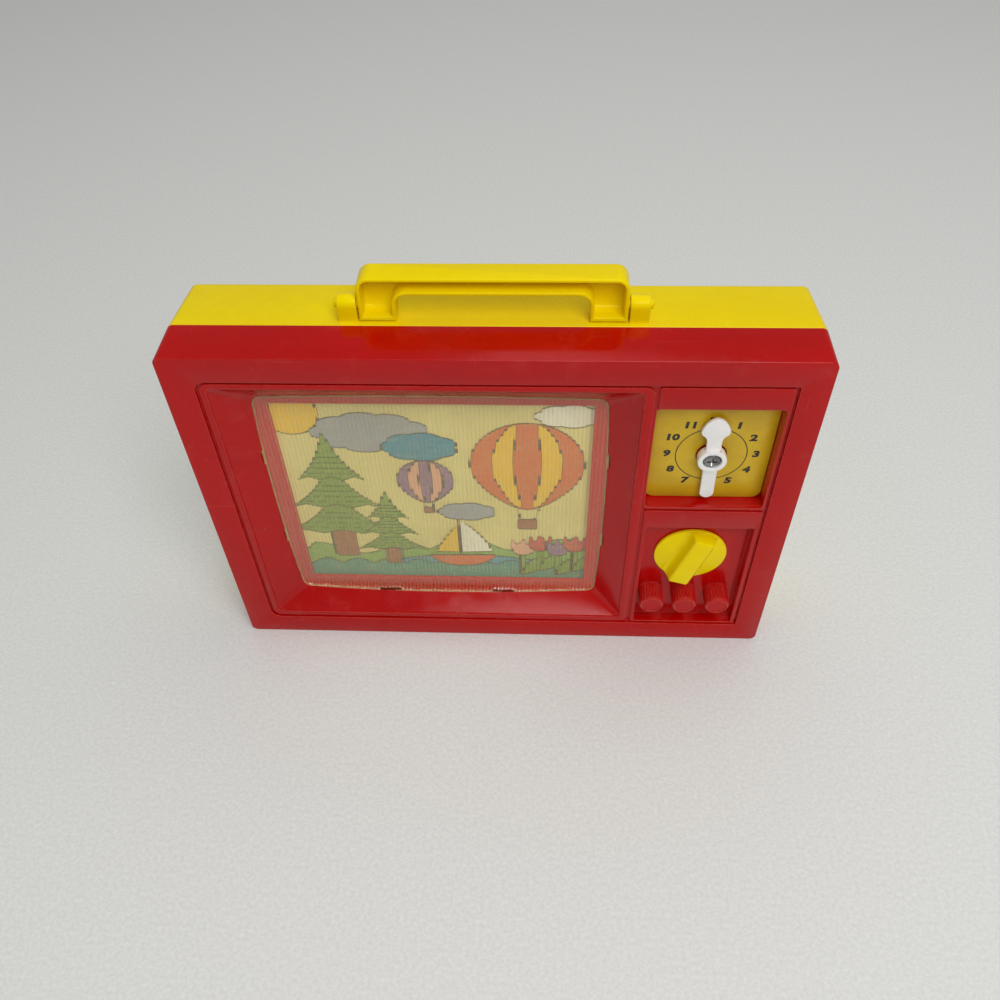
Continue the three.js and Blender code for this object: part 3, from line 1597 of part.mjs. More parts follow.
function rollerShaft(bottom) {
  return rodAlongZ(
    shaftRadius, bottom, flangeTopBottom + carrierFlangeThickness + endPlay * 2, shaftFacets,
  );
}

function rollerGear() {
  const lift = windZ;
  return spurGear(rollerGearTeeth, rollerTooth, shaftRadius + seatGap).translate([0, 0, lift]);
}

function pictureCarrier() {
  const flangeBox = span(
    rollerLeftX - carrierFlangeMargin,
    rollerRightX + carrierFlangeMargin,
    carrierFrontDepth - rollerDepth,
    carrierFlangeMargin,
  );
  const flange = (bottom) => slab(
    roundedShape(flangeBox, carrierFlangeThickness), bottom, bottom + carrierFlangeThickness,
  );
  const lowFlange = flangeBottomTop - carrierFlangeThickness;
  const platenFront = -rollerRadius + seatGap;
  const platenBox = span(
    rollerLeftX + carrierFlangeMargin, rollerRightX - carrierFlangeMargin,
    flangeBottomTop - seatGap, flangeTopBottom + seatGap,
  );
  const platen = block(platenBox, platenFront, platenFront + platenThickness);
  const ribs = platenRibShares.map((share) => {
    const z = platenBox.bottom + (platenBox.top - platenBox.bottom) * share;
    const half = platenThickness / 2;
    return block(
      span(platenBox.left, platenBox.right, z - half, z + half), platenFront, platenFront + platenRibDepth,
    );
  });
  const tabs = carrierScrewPlaces.map(([x, z]) => {
    const half = carrierTabWidth / 2;
    const low = z < windZ ? z - tabReach : z - tabReach - seatGap;
    const high = z < windZ ? z + tabReach + seatGap : z + tabReach;
    return block(
      span(x - half, x + half, low, high), carrierFrontDepth - rollerDepth, carrierTabBack - rollerDepth,
    );
  });
  const shaftHoles = [rollerLeftX, rollerRightX].map((x) =>
    placed(
      rodAlongZ(
        shaftRadius + runningGap,
        lowFlange - overrun,
        flangeTopBottom + carrierFlangeThickness + overrun,
        shaftFacets,
      ),
      x, 0, 0,
    ));
  const screwHoles = carrierScrewPlaces.map(([x, z]) =>
    placed(
      rodAlongY(smallScrewShankRadius + runningGap, carrierFrontDepth - rollerDepth - overrun,
        carrierTabBack - rollerDepth + overrun, smallFacets),
      x, 0, z,
    ));
  return cut(
    join(flange(lowFlange), flange(flangeTopBottom), platen, ...ribs, ...tabs), ...shaftHoles, ...screwHoles,
  );
}

function pictureGroup() {
  const group = groupAt(0, atDepth(rollerDepth), 0);
  const rollerShaftBottom = flangeBottomTop - carrierFlangeThickness - endPlay * 2;
  group.add(
    piece('picture_carrier', pictureCarrier(), natural()),
    piece('picture_band', pictureBand(), bandFinish()),
    piece('drive_roller', roller(), natural(), rollerRightX, 0, 0),
    piece('drive_roller_shaft', rollerShaft(gearBottom - endPlay), steel(), rollerRightX, 0, 0),
    piece('drive_roller_gear', rollerGear(), natural(), rollerRightX, 0, 0),
    piece('idler_roller', roller(), natural(), rollerLeftX, 0, 0),
    piece('idler_roller_shaft', rollerShaft(rollerShaftBottom), steel(), rollerLeftX, 0, 0),
  );
  carrierScrewPlaces.forEach(([x, z], index) =>
    group.add(smallScrew('carrier_screw_' + (index + 1), x, carrierTabBack - rollerDepth, z)));
  return group;
}

function caseScrews() {
  const group = groupAt(0, atDepth(screwShoulderDepth + seatGap), 0);
  caseScrewPlaces.forEach(([x, z], index) => {
    const shape = screwSolid(
      caseScrewHeadRadius, caseScrewHeadHeight, caseScrewShankRadius, caseScrewLength,
    );
    group.add(piece('case_screw_' + (index + 1), shape, steel(), x, 0, z));
  });
  return group;
}

const toyTelevision = new THREE.Group();
toyTelevision.add(
  piece('front_case', frontCase(), redPlastic()),
  piece('rear_case', rearCase(), yellowPlastic()),
  piece('screen_lens', screenLens(), clearPlastic()),
  piece('carry_handle', carryHandle(), yellowPlastic(), 0, pivotY, pivotZ),
  clockGroup(),
  windGroup(),
  movementGroup(),
  pictureGroup(),
  caseScrews(),
);

export default toyTelevision;
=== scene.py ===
"""A musical toy television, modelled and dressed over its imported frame.

The toy stands on z = 0 with its screen towards -Y. Each sub-assembly is a class that holds its
sizes in millimetres, builds its meshes at their places and gives them their finishes.
"""

import logging
import math
from collections.abc import Callable, Iterable
from dataclasses import dataclass
from enum import Enum

import bmesh
import bpy
from mathutils import Matrix, Vector


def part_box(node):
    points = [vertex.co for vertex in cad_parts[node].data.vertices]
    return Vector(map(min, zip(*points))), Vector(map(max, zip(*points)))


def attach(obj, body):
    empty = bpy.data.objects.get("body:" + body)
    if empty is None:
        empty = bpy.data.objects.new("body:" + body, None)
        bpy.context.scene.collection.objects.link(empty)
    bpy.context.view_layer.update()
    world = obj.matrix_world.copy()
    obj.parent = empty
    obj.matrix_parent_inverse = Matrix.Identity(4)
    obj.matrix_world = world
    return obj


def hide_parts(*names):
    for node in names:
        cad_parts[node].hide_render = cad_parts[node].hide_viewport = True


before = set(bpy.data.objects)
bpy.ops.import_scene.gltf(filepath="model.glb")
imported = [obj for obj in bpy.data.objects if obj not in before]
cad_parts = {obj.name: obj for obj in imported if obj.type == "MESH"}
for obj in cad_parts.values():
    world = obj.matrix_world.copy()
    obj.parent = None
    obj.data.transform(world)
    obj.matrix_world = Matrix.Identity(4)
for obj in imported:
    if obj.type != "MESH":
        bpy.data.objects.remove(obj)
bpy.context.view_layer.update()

log = logging.getLogger("toy_television")

MM = 0.001
SNAP_DIGITS = 7
OVERRUN = 1.0
CORNER_STEPS = 8
ROUND_STEPS = 48
DISC_STEPS = 96
POST_STEPS = 24
BORE_STEPS = 16
SHARP = 35.0
HANDLE_PIVOT = (25.9, 180.3)
CASE_SCREWS = tuple(f"case_screw_{number}" for number in range(1, 7))

Piece = bpy.types.Object
Material = bpy.types.Material
Socket = bpy.types.NodeSocket
EdgeTest = Callable[[bmesh.types.BMEdge], bool]
Colour = tuple[float, float, float, float]
Point = tuple[float, float]
Loop = list[Point]
Section = tuple[float, Loop]


# Measures in the frame

@dataclass(frozen=True)
class Span:
    """An upright rectangle in millimetres, as seen from the front."""

    left: float
    right: float
    bottom: float
    top: float

    def inside(self, left: float, right: float, bottom: float, top: float) -> "Span":
        """The rectangle left when each side is drawn in by its own amount."""
        return Span(self.left + left, self.right - right, self.bottom + bottom, self.top - top)

    def grown(self, by: float) -> "Span":
        """The same rectangle, moved out on all four sides."""
        return self.inside(-by, -by, -by, -by)

    @property
    def middle(self) -> Point:
        """Its centre in x and z."""
        return (self.left + self.right) / 2, (self.bottom + self.top) / 2


@dataclass(frozen=True)
class Extent(Span):
    """A rectangle with a front and a back, both as depths behind the case's front face."""

    front: float
    back: float


CASE_FRONT = -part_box("rear_case")[1].y / MM


def extent(node: str) -> Extent:
    """The space that a solid of the frame takes.

    Args:
        node: The solid's name.

    Returns:
        Its six sides in millimetres.
    """
    low, high = (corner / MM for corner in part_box(node))
    return Extent(low.x, high.x, low.z, high.z, low.y - CASE_FRONT, high.y - CASE_FRONT)


def about(centre: Point, half_wide: float, half_high: float) -> Span:
    """A rectangle about its centre."""
    x, z = centre
    return Span(x - half_wide, x + half_wide, z - half_high, z + half_high)


class Axis(Enum):
    """The direction in which a shape is drawn out, and what its outline's two numbers mean."""

    X = "depth and z"
    Y = "x and z"
    Z = "x and depth"

    def spot(self, along: float, point: Point) -> Vector:
        """Where a point of an outline lies in the frame.

        Args:
            along: How far along the axis the outline stands.
            point: The point's two numbers on the outline.

        Returns:
            The place in metres.
        """
        first, second = point
        places = {
            Axis.X: (along, first + CASE_FRONT, second),
            Axis.Y: (first, along + CASE_FRONT, second),
            Axis.Z: (first, second + CASE_FRONT, along),
        }
        return Vector(places[self]) * MM


# Outlines

def arc(centre: Point, radius: float, start: float, end: float, steps: int = CORNER_STEPS) -> Loop:
    """Points along an arc, from one angle in degrees to another, both ends included."""
    angles = [math.radians(start + (end - start) * step / steps) for step in range(steps + 1)]
    return [(centre[0] + radius * math.cos(a), centre[1] + radius * math.sin(a)) for a in angles]


def circle(centre: Point, radius: float, steps: int = ROUND_STEPS) -> Loop:
    """A full circle without its first point twice."""
    return arc(centre, radius, 0, 360, steps)[:-1]


def bend(start: Point, pull: Point, end: Point, steps: int = 6) -> Loop:
    """A quadratic curve that bends towards a pull point, without its first point."""
    points = []
    for t in (step / steps for step in range(1, steps + 1)):
        weights = ((1 - t) ** 2, 2 * t * (1 - t), t**2)
        points.append(tuple(sum(w * p[i] for w, p in zip(weights, (start, pull, end))) for i in range(2)))
    return points


@dataclass(frozen=True)
class Swell:
    """How far each side of a rounded rectangle bows out at its middle."""

    right: float = 0.0
    top: float = 0.0
    left: float = 0.0
    bottom: float = 0.0


def rounded(box: Span, radius: float, swell: Swell = Swell(), side_steps: int = 1) -> Loop:
    """A rectangle with round corners, whose sides may bow out.

    Args:
        box: The rectangle.
        radius: The radius of its corners.
        swell: How far its sides bow out.
        side_steps: How many chords a side has.

    Returns:
        The outline, anticlockwise from the lower end of the right side.
    """
    inner = box.grown(-radius)
    corners = [
        ((inner.right, inner.bottom), -90, swell.right),
        ((inner.right, inner.top), 0, swell.top),
        ((inner.left, inner.top), 90, swell.left),
        ((inner.left, inner.bottom), 180, swell.bottom),
    ]
    arcs = [arc(centre, radius, start, start + 90) for centre, start, _ in corners]
    points: Loop = []
    for index, (_, start, rise) in enumerate(corners):
        (x, z), (next_x, next_z) = arcs[index][-1], arcs[(index + 1) % len(arcs)][0]
        points += arcs[index]
        outward = math.radians(start + 90)
        for share in (step / side_steps for step in range(1, side_steps)):
            bow = rise * 4 * share * (1 - share)
            points.append((x + (next_x - x) * share + bow * math.cos(outward),
                           z + (next_z - z) * share + bow * math.sin(outward)))
    return points


def turned(loop: Loop, degrees: float, centre: Point) -> Loop:
    """An outline drawn about zero, turned clockwise and moved to a centre."""
    cosine, sine = math.cos(math.radians(degrees)), math.sin(math.radians(degrees))
    return [(centre[0] + x * cosine + z * sine, centre[1] - x * sine + z * cosine) for x, z in loop]


def mirrored(loop: Loop) -> Loop:
    """An outline with its right-hand half repeated on the left, in reverse."""
    return loop + [(-x, z) for x, z in reversed(loop) if abs(x) > 10**-SNAP_DIGITS]


# Mesh work

def deselect() -> None:
    """Nothing is selected after this."""
    bpy.ops.object.select_all(action="DESELECT")


def activate(obj: Piece) -> Piece:
    """Only this piece is selected, and it is the active one."""
    deselect()
    obj.select_set(True)
    bpy.context.view_layer.objects.active = obj
    return obj


def named(name: str) -> Piece:
    """Names the piece that was just added."""
    obj = bpy.context.object
    obj.name = obj.data.name = name
    return obj


def shade(obj: Piece, sharp: float = SHARP) -> Piece:
    """Shades a piece smooth, apart from edges sharper than an angle in degrees."""
    activate(obj)
    bpy.ops.object.shade_smooth_by_angle(angle=math.radians(sharp))
    return obj


def snapped(place: Vector) -> tuple[float, ...]:
    """A place rounded so that two equal ones are found together."""
    return tuple(round(value, SNAP_DIGITS) for value in place)


def drawn_out(name: str, sections: list[Section], axis: Axis = Axis.Y) -> Piece:
    """Draws a filled circle, sets its points on the first outline and extrudes it through the rest.

    Args:
        name: The piece's name.
        sections: Outlines of equal count, each with its distance along the axis.
        axis: The direction in which the shape is drawn out.

    Returns:
        A closed piece that faces outwards.
    """
    deselect()
    bpy.ops.mesh.primitive_circle_add(vertices=len(sections[0][1]), radius=MM, fill_type="NGON")
    obj = named(name)
    bpy.ops.object.mode_set(mode="EDIT")
    along, loop = sections[0]
    places = [axis.spot(along, point) for point in loop]
    for vertex, place in zip(bmesh.from_edit_mesh(obj.data).verts, places):
        vertex.co = place
    bmesh.update_edit_mesh(obj.data)
    for along, loop in sections[1:]:
        order = {snapped(place): index for index, place in enumerate(places)}
        places = [axis.spot(along, point) for point in loop]
        bpy.ops.mesh.extrude_region_move()
        for vertex in [vertex for vertex in bmesh.from_edit_mesh(obj.data).verts if vertex.select]:
            vertex.co = places[order[snapped(vertex.co)]]
        bmesh.update_edit_mesh(obj.data)
    bpy.ops.mesh.select_all(action="SELECT")
    bpy.ops.mesh.normals_make_consistent(inside=False)
    bpy.ops.object.mode_set(mode="OBJECT")
    return obj


def prism(name: str, loop: Loop, start: float, end: float, axis: Axis = Axis.Y) -> Piece:
    """One outline drawn straight out from a start to an end."""
    return drawn_out(name, [(start, loop), (end, loop)], axis)


def rod(name: str, centre: Point, radius: float, start: float, end: float, steps: int = ROUND_STEPS) -> Piece:
    """A round bar along the depth."""
    return prism(name, circle(centre, radius, steps), start, end)


def rods(name: str, centres: Iterable[Point], radius: float, start: float, end: float, steps: int) -> list[Piece]:
    """Equal round bars along the depth."""
    return [rod(name, centre, radius, start, end, steps) for centre in centres]


def block(name: str, box: Span, front: float, back: float, radius: float = 0.0) -> Piece:
    """A cuboid whose edges along the depth may be round.

    Args:
        name: The piece's name.
        box: Its outline from the front.
        front: The depth of its front.
        back: The depth of its back.
        radius: The radius of the four edges that run back.

    Returns:
        The piece.
    """
    deselect()
    bpy.ops.mesh.primitive_cube_add(size=1, location=Axis.Y.spot((front + back) / 2, box.middle))
    obj = named(name)
    obj.scale = Vector((box.right - box.left, back - front, box.top - box.bottom)) * MM
    bpy.ops.object.transform_apply(location=True, rotation=True, scale=True)
    if radius:
        bevel(obj, runs_back, radius, CORNER_STEPS)
    return obj


def runs_back(edge: bmesh.types.BMEdge) -> bool:
    """Whether an edge runs straight along the depth."""
    return (edge.verts[1].co - edge.verts[0].co).normalized().cross(Vector((0, 1, 0))).length < MM


def depths(edge: bmesh.types.BMEdge) -> list[float]:
    """The depths of an edge's ends behind the case's front face, in millimetres."""
    return [vertex.co.y / MM - CASE_FRONT for vertex in edge.verts]


def bevel(obj: Piece, chosen: EdgeTest, width: float, steps: int) -> None:
    """Rounds the chosen edges of a piece.

    Args:
        obj: The piece.
        chosen: Says of an edge whether it is rounded.
        width: How far the rounding reaches from the edge, in millimetres.
        steps: How many facets it has.
    """
    activate(obj)
    bpy.ops.object.mode_set(mode="EDIT")
    bpy.ops.mesh.select_mode(type="EDGE")
    bpy.ops.mesh.select_all(action="DESELECT")
    for edge in filter(chosen, bmesh.from_edit_mesh(obj.data).edges):
        edge.select_set(True)
    bmesh.update_edit_mesh(obj.data)
    bpy.ops.mesh.bevel(offset=width * MM, segments=steps, affect="EDGES")
    bpy.ops.object.mode_set(mode="OBJECT")


class Join(Enum):
    """What a second piece does to the first."""

    ADD = "UNION"
    CUT = "DIFFERENCE"
    KEEP = "INTERSECT"


def combine(obj: Piece, how: Join, *tools: Piece) -> Piece:
    """Adds, cuts or keeps what other pieces cover, and removes those pieces.

    Args:
        obj: The piece that stays.
        how: What the tools do to it.
        tools: The pieces that are used up.

    Returns:
        The piece that stays.
    """
    for tool in tools:
        activate(obj)
        modifier = obj.modifiers.new(how.name, "BOOLEAN")
        modifier.operation = how.value
        modifier.solver = "EXACT"
        modifier.object = tool
        bpy.ops.object.modifier_apply(modifier=modifier.name)
        bpy.data.objects.remove(tool)
    return obj


def soften(
    obj: Piece, width: float, steps: int = 2, sharp: float = 28.0, chosen: EdgeTest = lambda edge: True
) -> Piece:
    """Gives the sharp edges of a piece a small round and shades it smooth up to them.

    Args:
        obj: The piece.
        width: How far the round reaches from the edge, in millimetres.
        steps: How many facets it has.
        sharp: The angle in degrees from which an edge counts as sharp.
        chosen: Says of a sharp edge whether it is rounded.

    Returns:
        The piece.
    """
    activate(obj)
    shape = bmesh.new()
    shape.from_mesh(obj.data)
    weight = shape.edges.layers.float.new("bevel_weight_edge")
    for edge in shape.edges:
        is_sharp = len(edge.link_faces) == 2 and edge.calc_face_angle() > math.radians(sharp)
        edge[weight] = 1.0 if is_sharp and chosen(edge) else 0.0
    shape.to_mesh(obj.data)
    shape.free()
    modifier = obj.modifiers.new("Soft edges", "BEVEL")
    modifier.limit_method = "WEIGHT"
    modifier.width = width * MM
    modifier.segments = steps
    modifier.use_clamp_overlap = False
    bpy.ops.object.modifier_apply(modifier=modifier.name)
    return shade(obj, sharp)


def copy_of(obj: Piece, name: str, move: Vector) -> Piece:
    """A second piece with its own mesh, moved from the first by a distance in metres."""
    twin = obj.copy()
    twin.data = obj.data.copy()
    twin.name = twin.data.name = name
    twin.data.transform(Matrix.Translation(move))
    bpy.context.collection.objects.link(twin)
    return twin


def merged(pieces: list[Piece]) -> Piece:
    """Several pieces as one object, with the materials of each."""
    activate(pieces[0])
    for piece in pieces:
        piece.select_set(True)
    bpy.ops.object.join()
    return pieces[0]


def dress(obj: Piece, material: Material) -> Piece:
    """Gives a whole piece one finish."""
    obj.data.materials.clear()
    obj.data.materials.append(material)
    return obj


class Slot(Enum):
    """The record's material slots."""

    RED = "red_plastic"
    YELLOW = "yellow_plastic"
    WHITE = "white_plastic"
    CLEAR = "clear_plastic"
    CARD = "dial_card"
    FILM = "film"
    STEEL = "steel"


def settle(obj: Piece, body: str, slot: Slot, *nodes: str) -> None:
    """Closes a piece's seams, hangs it on its body and lets it stand for its solids.

    Args:
        obj: The finished piece.
        body: The body that it moves with.
        slot: The record's slot for its finish; not used.
        nodes: The solids that it replaces.
    """
    activate(obj)
    bpy.ops.object.mode_set(mode="EDIT")
    bpy.ops.mesh.select_mode(type="VERT")
    bpy.ops.mesh.select_all(action="SELECT")
    bpy.ops.mesh.remove_doubles(threshold=10**-SNAP_DIGITS)
    bpy.ops.object.mode_set(mode="OBJECT")
    bpy.ops.object.transform_apply(location=True, rotation=True, scale=True)
    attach(obj, body)
    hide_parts(*nodes)
    low, high = Vector(obj.bound_box[0]) / MM, Vector(obj.bound_box[6]) / MM
    size = " x ".join(f"{value:.1f}" for value in high - low)
    log.info("%s: %d faces, %s mm, on %s", obj.name, len(obj.data.polygons), size, body)


# Node work

def srgb(red: int, green: int, blue: int) -> Colour:
    """A colour as a screen shows it, in the linear values that a shader takes."""
    parts = (value / 255 for value in (red, green, blue))
    return (*(p / 12.92 if p <= 0.04045 else ((p + 0.055) / 1.055) ** 2.4 for p in parts), 1.0)


class Sheet:
    """A node tree that is filled from left to right."""

    def __init__(self, tree: bpy.types.NodeTree) -> None:
        """Takes a tree and empties it."""
        self.tree = tree
        tree.nodes.clear()

    def node(self, kind: str, inputs: dict | None = None, **settings: object) -> bpy.types.Node:
        """Adds one node.

        Args:
            kind: The node's type without its prefix.
            inputs: Values or sockets for its inputs, by name or number.
            settings: Properties of the node itself.

        Returns:
            The node.
        """
        made = self.tree.nodes.new(kind if kind.startswith("Node") else "ShaderNode" + kind)
        for key, value in settings.items():
            setattr(made, key, value)
        for key, value in (inputs or {}).items():
            if isinstance(value, Socket):
                self.tree.links.new(value, made.inputs[key])
            else:
                made.inputs[key].default_value = value
        return made

    def coordinates(self) -> Socket:
        """The piece's own place in the frame, in metres."""
        return self.node("TexCoord").outputs["Object"]

    def stretched(self, *scale: float) -> Socket:
        """The same place, drawn out along the three axes."""
        return self.node("Mapping", {"Vector": self.coordinates(), "Scale": scale}).outputs["Vector"]

    def noise(self, scale: float, detail: float = 3.0, rough: float = 0.55, place: Socket | None = None) -> Socket:
        """Cloudy variation.

        Args:
            scale: How many clouds fit in a metre.
            detail: How many finer layers it has.
            rough: How strong those layers are.
            place: The coordinates it reads, the piece's own if left out.

        Returns:
            A value from 0 to 1.
        """
        inputs = {"Vector": place or self.coordinates(), "Scale": scale, "Detail": detail, "Roughness": rough}
        return self.node("TexNoise", inputs).outputs["Fac"]

    def cells(self, scale: float) -> Socket:
        """The distance to the nearest of many scattered points."""
        return self.node("TexVoronoi", {"Vector": self.coordinates(), "Scale": scale}).outputs["Distance"]

    def ranged(
        self, value: Socket, low: float, high: float, to_low: object = 0.0, to_high: object = 1.0
    ) -> Socket:
        """Maps a part of a value's range onto another range, and clamps it there.

        Args:
            value: The value.
            low: Where the part starts.
            high: Where it ends.
            to_low: What its start becomes.
            to_high: What its end becomes.

        Returns:
            The mapped value.
        """
        inputs = {"Value": value, "From Min": low, "From Max": high, "To Min": to_low, "To Max": to_high}
        return self.node("MapRange", inputs).outputs["Result"]

    def math(self, operation: str, first: object, second: object) -> Socket:
        """One sum of two values."""
        return self.node("Math", {0: first, 1: second}, operation=operation).outputs["Value"]

    def times(self, first: object, second: object) -> Socket:
        """Two values multiplied."""
        return self.math("MULTIPLY", first, second)

    def mixed(self, share: object, first: object, second: object, how: str = "MIX") -> Socket:
        """Two colours mixed, with a share of the second one."""
        inputs = {"Factor": share, 6: first, 7: second}
        return self.node("Mix", inputs, data_type="RGBA", blend_type=how).outputs[2]

    def bump(self, height: Socket, strength: float, distance: float) -> Socket:
        """The normal of a surface with a fine relief, whose depth is in metres."""
        return self.node("Bump", {"Height": height, "Strength": strength, "Distance": distance}).outputs["Normal"]

    def principled(self, colour: object, rough: object, normal: Socket, **inputs: object) -> Socket:
        """The usual shader; other inputs are given by name, with _ for each space."""
        values = {"Base Color": colour, "Roughness": rough, "Normal": normal}
        values |= {key.replace("_", " "): value for key, value in inputs.items()}
        return self.node("BsdfPrincipled", values).outputs[0]


class Effect(Sheet):
    """A shader node group with named inputs and outputs, built once and placed in many materials."""

    def __init__(self, name: str, inputs: dict[str, object], *outputs: str) -> None:
        """Opens a new group.

        Args:
            name: The group's name.
            inputs: Its inputs and their usual values.
            outputs: Its outputs' names; the one called Colour is a colour.
        """
        group = bpy.data.node_groups.new(name, "ShaderNodeTree")
        super().__init__(group)
        for key, value in inputs.items():
            kind = "NodeSocketColor" if isinstance(value, tuple) else "NodeSocketFloat"
            group.interface.new_socket(key, in_out="INPUT", socket_type=kind).default_value = value
        for key in outputs:
            kind = "NodeSocketColor" if key == "Colour" else "NodeSocketFloat"
            group.interface.new_socket(key, in_out="OUTPUT", socket_type=kind)
        self.given = self.node("NodeGroupInput").outputs
        self.made = self.node("NodeGroupOutput").inputs

    def give(self, key: str, socket: Socket) -> None:
        """Connects one of the group's outputs."""
        self.tree.links.new(socket, self.made[key])


class Effects(Enum):
    """The shared effects, by the names of their groups."""

    EDGE_WEAR = "Edge wear"
    SCUFFS = "Scuffs"
    DUST = "Dust"
    MOULDING_SKIN = "Moulding skin"

    def place(self, sheet: Sheet, inputs: dict[str, object]) -> bpy.types.bpy_prop_collection:
        """Puts this effect in a material.

        Args:
            sheet: The material's nodes.
            inputs: Values or sockets for its inputs.

        Returns:
            The group's outputs.
        """
        return sheet.node("Group", inputs, node_tree=bpy.data.node_groups[self.value]).outputs


def edge_wear() -> None:
    """Finds rubbed edges and corners, broken up by fine noise: real wear, and on the red plastic also a painted
    highlight along the edges.
    """
    effect = Effect(Effects.EDGE_WEAR.value, {"Reach": 0.0006, "Amount": 0.5}, "Mask")
    rounded_off = effect.node("Bevel", {"Radius": effect.given["Reach"]}, samples=4).outputs["Normal"]
    true = effect.node("NewGeometry").outputs["Normal"]
    dot = effect.node("VectorMath", {0: rounded_off, 1: true}, operation="DOT_PRODUCT").outputs["Value"]
    broken = effect.ranged(effect.noise(420.0, 4.0), 0.3, 0.5)
    worn = effect.times(effect.ranged(dot, 0.995, 0.93), broken)
    effect.give("Mask", effect.times(worn, effect.given["Amount"]))


def scuffs() -> None:
    """Hairline scratches in two directions, and small dull rubs."""
    effect = Effect(Effects.SCUFFS.value, {"Amount": 1.0}, "Lines", "Rubs")
    across = effect.noise(160.0, 2.0, 0.5, effect.stretched(0.12, 6.0, 6.0))
    upright = effect.noise(190.0, 2.0, 0.5, effect.stretched(7.0, 7.0, 0.16))
    patches = effect.ranged(effect.noise(38.0, 3.0), 0.5, 0.68)
    lines = effect.math("MAXIMUM", effect.ranged(across, 0.66, 0.72), effect.ranged(upright, 0.67, 0.73))
    rubs = effect.ranged(effect.noise(85.0, 5.0, 0.62), 0.56, 0.72)
    effect.give("Lines", effect.times(effect.times(lines, patches), effect.given["Amount"]))
    effect.give("Rubs", effect.times(rubs, effect.given["Amount"]))


def dust() -> None:
    """Fine pale specks, thicker where the surface faces up."""
    effect = Effect(Effects.DUST.value, {"Amount": 0.3}, "Mask")
    grains = effect.ranged(effect.cells(900.0), 0.16, 0.08)
    clouds = effect.ranged(effect.noise(55.0, 4.0), 0.45, 0.7)
    up = effect.node("SeparateXYZ", {0: effect.node("NewGeometry").outputs["Normal"]}).outputs["Z"]
    thick = effect.times(effect.times(grains, clouds), effect.ranged(up, -0.2, 0.9, 0.25, 1.0))
    effect.give("Mask", effect.times(thick, effect.given["Amount"]))


def moulding_skin() -> None:
    """The skin of moulded plastic: flow clouds in its colour, uneven gloss and a faint ripple."""
    effect = Effect(Effects.MOULDING_SKIN.value, {
        "Colour": srgb(200, 200, 200), "Shade": srgb(150, 150, 150), "Smooth": 0.25, "Dull": 0.45,
        "Worn": 0.0, "Worn And Highlight Colour": srgb(230, 200, 190), "Dust": 0.0, "Lines": 0.0, "Rubs": 0.0,
    }, "Colour", "Roughness", "Height")
    given, times = effect.given, effect.times
    flow = effect.noise(14.0, 4.0, 0.5, effect.stretched(1.0, 1.6, 0.7))
    fine = effect.noise(240.0, 3.0, 0.6)
    tone = effect.math("ADD", times(flow, 0.75), times(fine, 0.25))
    plain = effect.mixed(effect.ranged(tone, 0.4, 0.62), given["Shade"], given["Colour"])
    rubbed = effect.mixed(times(given["Rubs"], 0.1), plain, given["Worn And Highlight Colour"])
    # Rubbed edges take the worn colour; on the red plastic this is partly a painted highlight.
    worn = effect.mixed(given["Worn"], rubbed, given["Worn And Highlight Colour"])
    lined = effect.mixed(times(given["Lines"], 0.22), worn, given["Worn And Highlight Colour"])
    effect.give("Colour", effect.mixed(given["Dust"], lined, srgb(214, 206, 192)))
    smudge = effect.ranged(effect.noise(46.0, 4.0, 0.6), 0.4, 0.66)
    gloss = effect.ranged(smudge, 0.0, 1.0, given["Smooth"], given["Dull"])
    marks = effect.math("MAXIMUM", given["Lines"], effect.math("MAXIMUM", given["Rubs"], given["Dust"]))
    effect.give("Roughness", effect.math("ADD", gloss, times(marks, 0.22)))
    ripple, pores = times(effect.noise(130.0, 2.0), 0.6), times(effect.noise(900.0, 2.0), 0.25)
    relief = effect.math("SUBTRACT", effect.math("ADD", ripple, pores), times(given["Lines"], 0.8))
    effect.give("Height", relief)


@dataclass(frozen=True)
class Finish:
    """A finish with a name, whose subclass says how its surface is made."""

    name: str

    def surface(self, sheet: Sheet) -> Socket:
        """The shader that the material puts out."""
        raise NotImplementedError

    def make(self) -> Material:
        """Builds the material."""
        material = bpy.data.materials.new(self.name)
        material.use_nodes = True
        sheet = Sheet(material.node_tree)
        sheet.node("OutputMaterial", {"Surface": self.surface(sheet)})
        return material


@dataclass(frozen=True)
class Plastic(Finish):
    """A moulded plastic."""

    colour: Colour
    shade: Colour
    # Colour laid on rubbed edges: wear, and on the red plastic also a painted highlight.
    worn: Colour
    smooth: float = 0.24
    dull: float = 0.4
    wear: float = 0.35
    dirt: float = 0.3
    marks: float = 0.8
    ripple: float = 0.1
    glow: float = 0.0
    shine: float = 0.5
    glint: Colour = (1.0, 1.0, 1.0, 1.0)
    reach: float = 0.0006

    def surface(self, sheet: Sheet) -> Socket:
        """Skin with rubbed edges, scratches and dust."""
        wear = Effects.EDGE_WEAR.place(sheet, {"Amount": self.wear, "Reach": self.reach})
        marks = Effects.SCUFFS.place(sheet, {"Amount": self.marks})
        specks = Effects.DUST.place(sheet, {"Amount": self.dirt})
        skin = Effects.MOULDING_SKIN.place(sheet, {
            "Colour": self.colour, "Shade": self.shade, "Smooth": self.smooth, "Dull": self.dull,
            "Worn": wear["Mask"], "Worn And Highlight Colour": self.worn, "Dust": specks["Mask"],
            "Lines": marks["Lines"], "Rubs": marks["Rubs"],
        })
        return sheet.principled(
            skin["Colour"], skin["Roughness"], sheet.bump(skin["Height"], self.ripple, MM / 4), IOR=1.5,
            Specular_IOR_Level=self.shine, Specular_Tint=self.glint, Subsurface_Weight=self.glow,
            Subsurface_Scale=MM,
        )


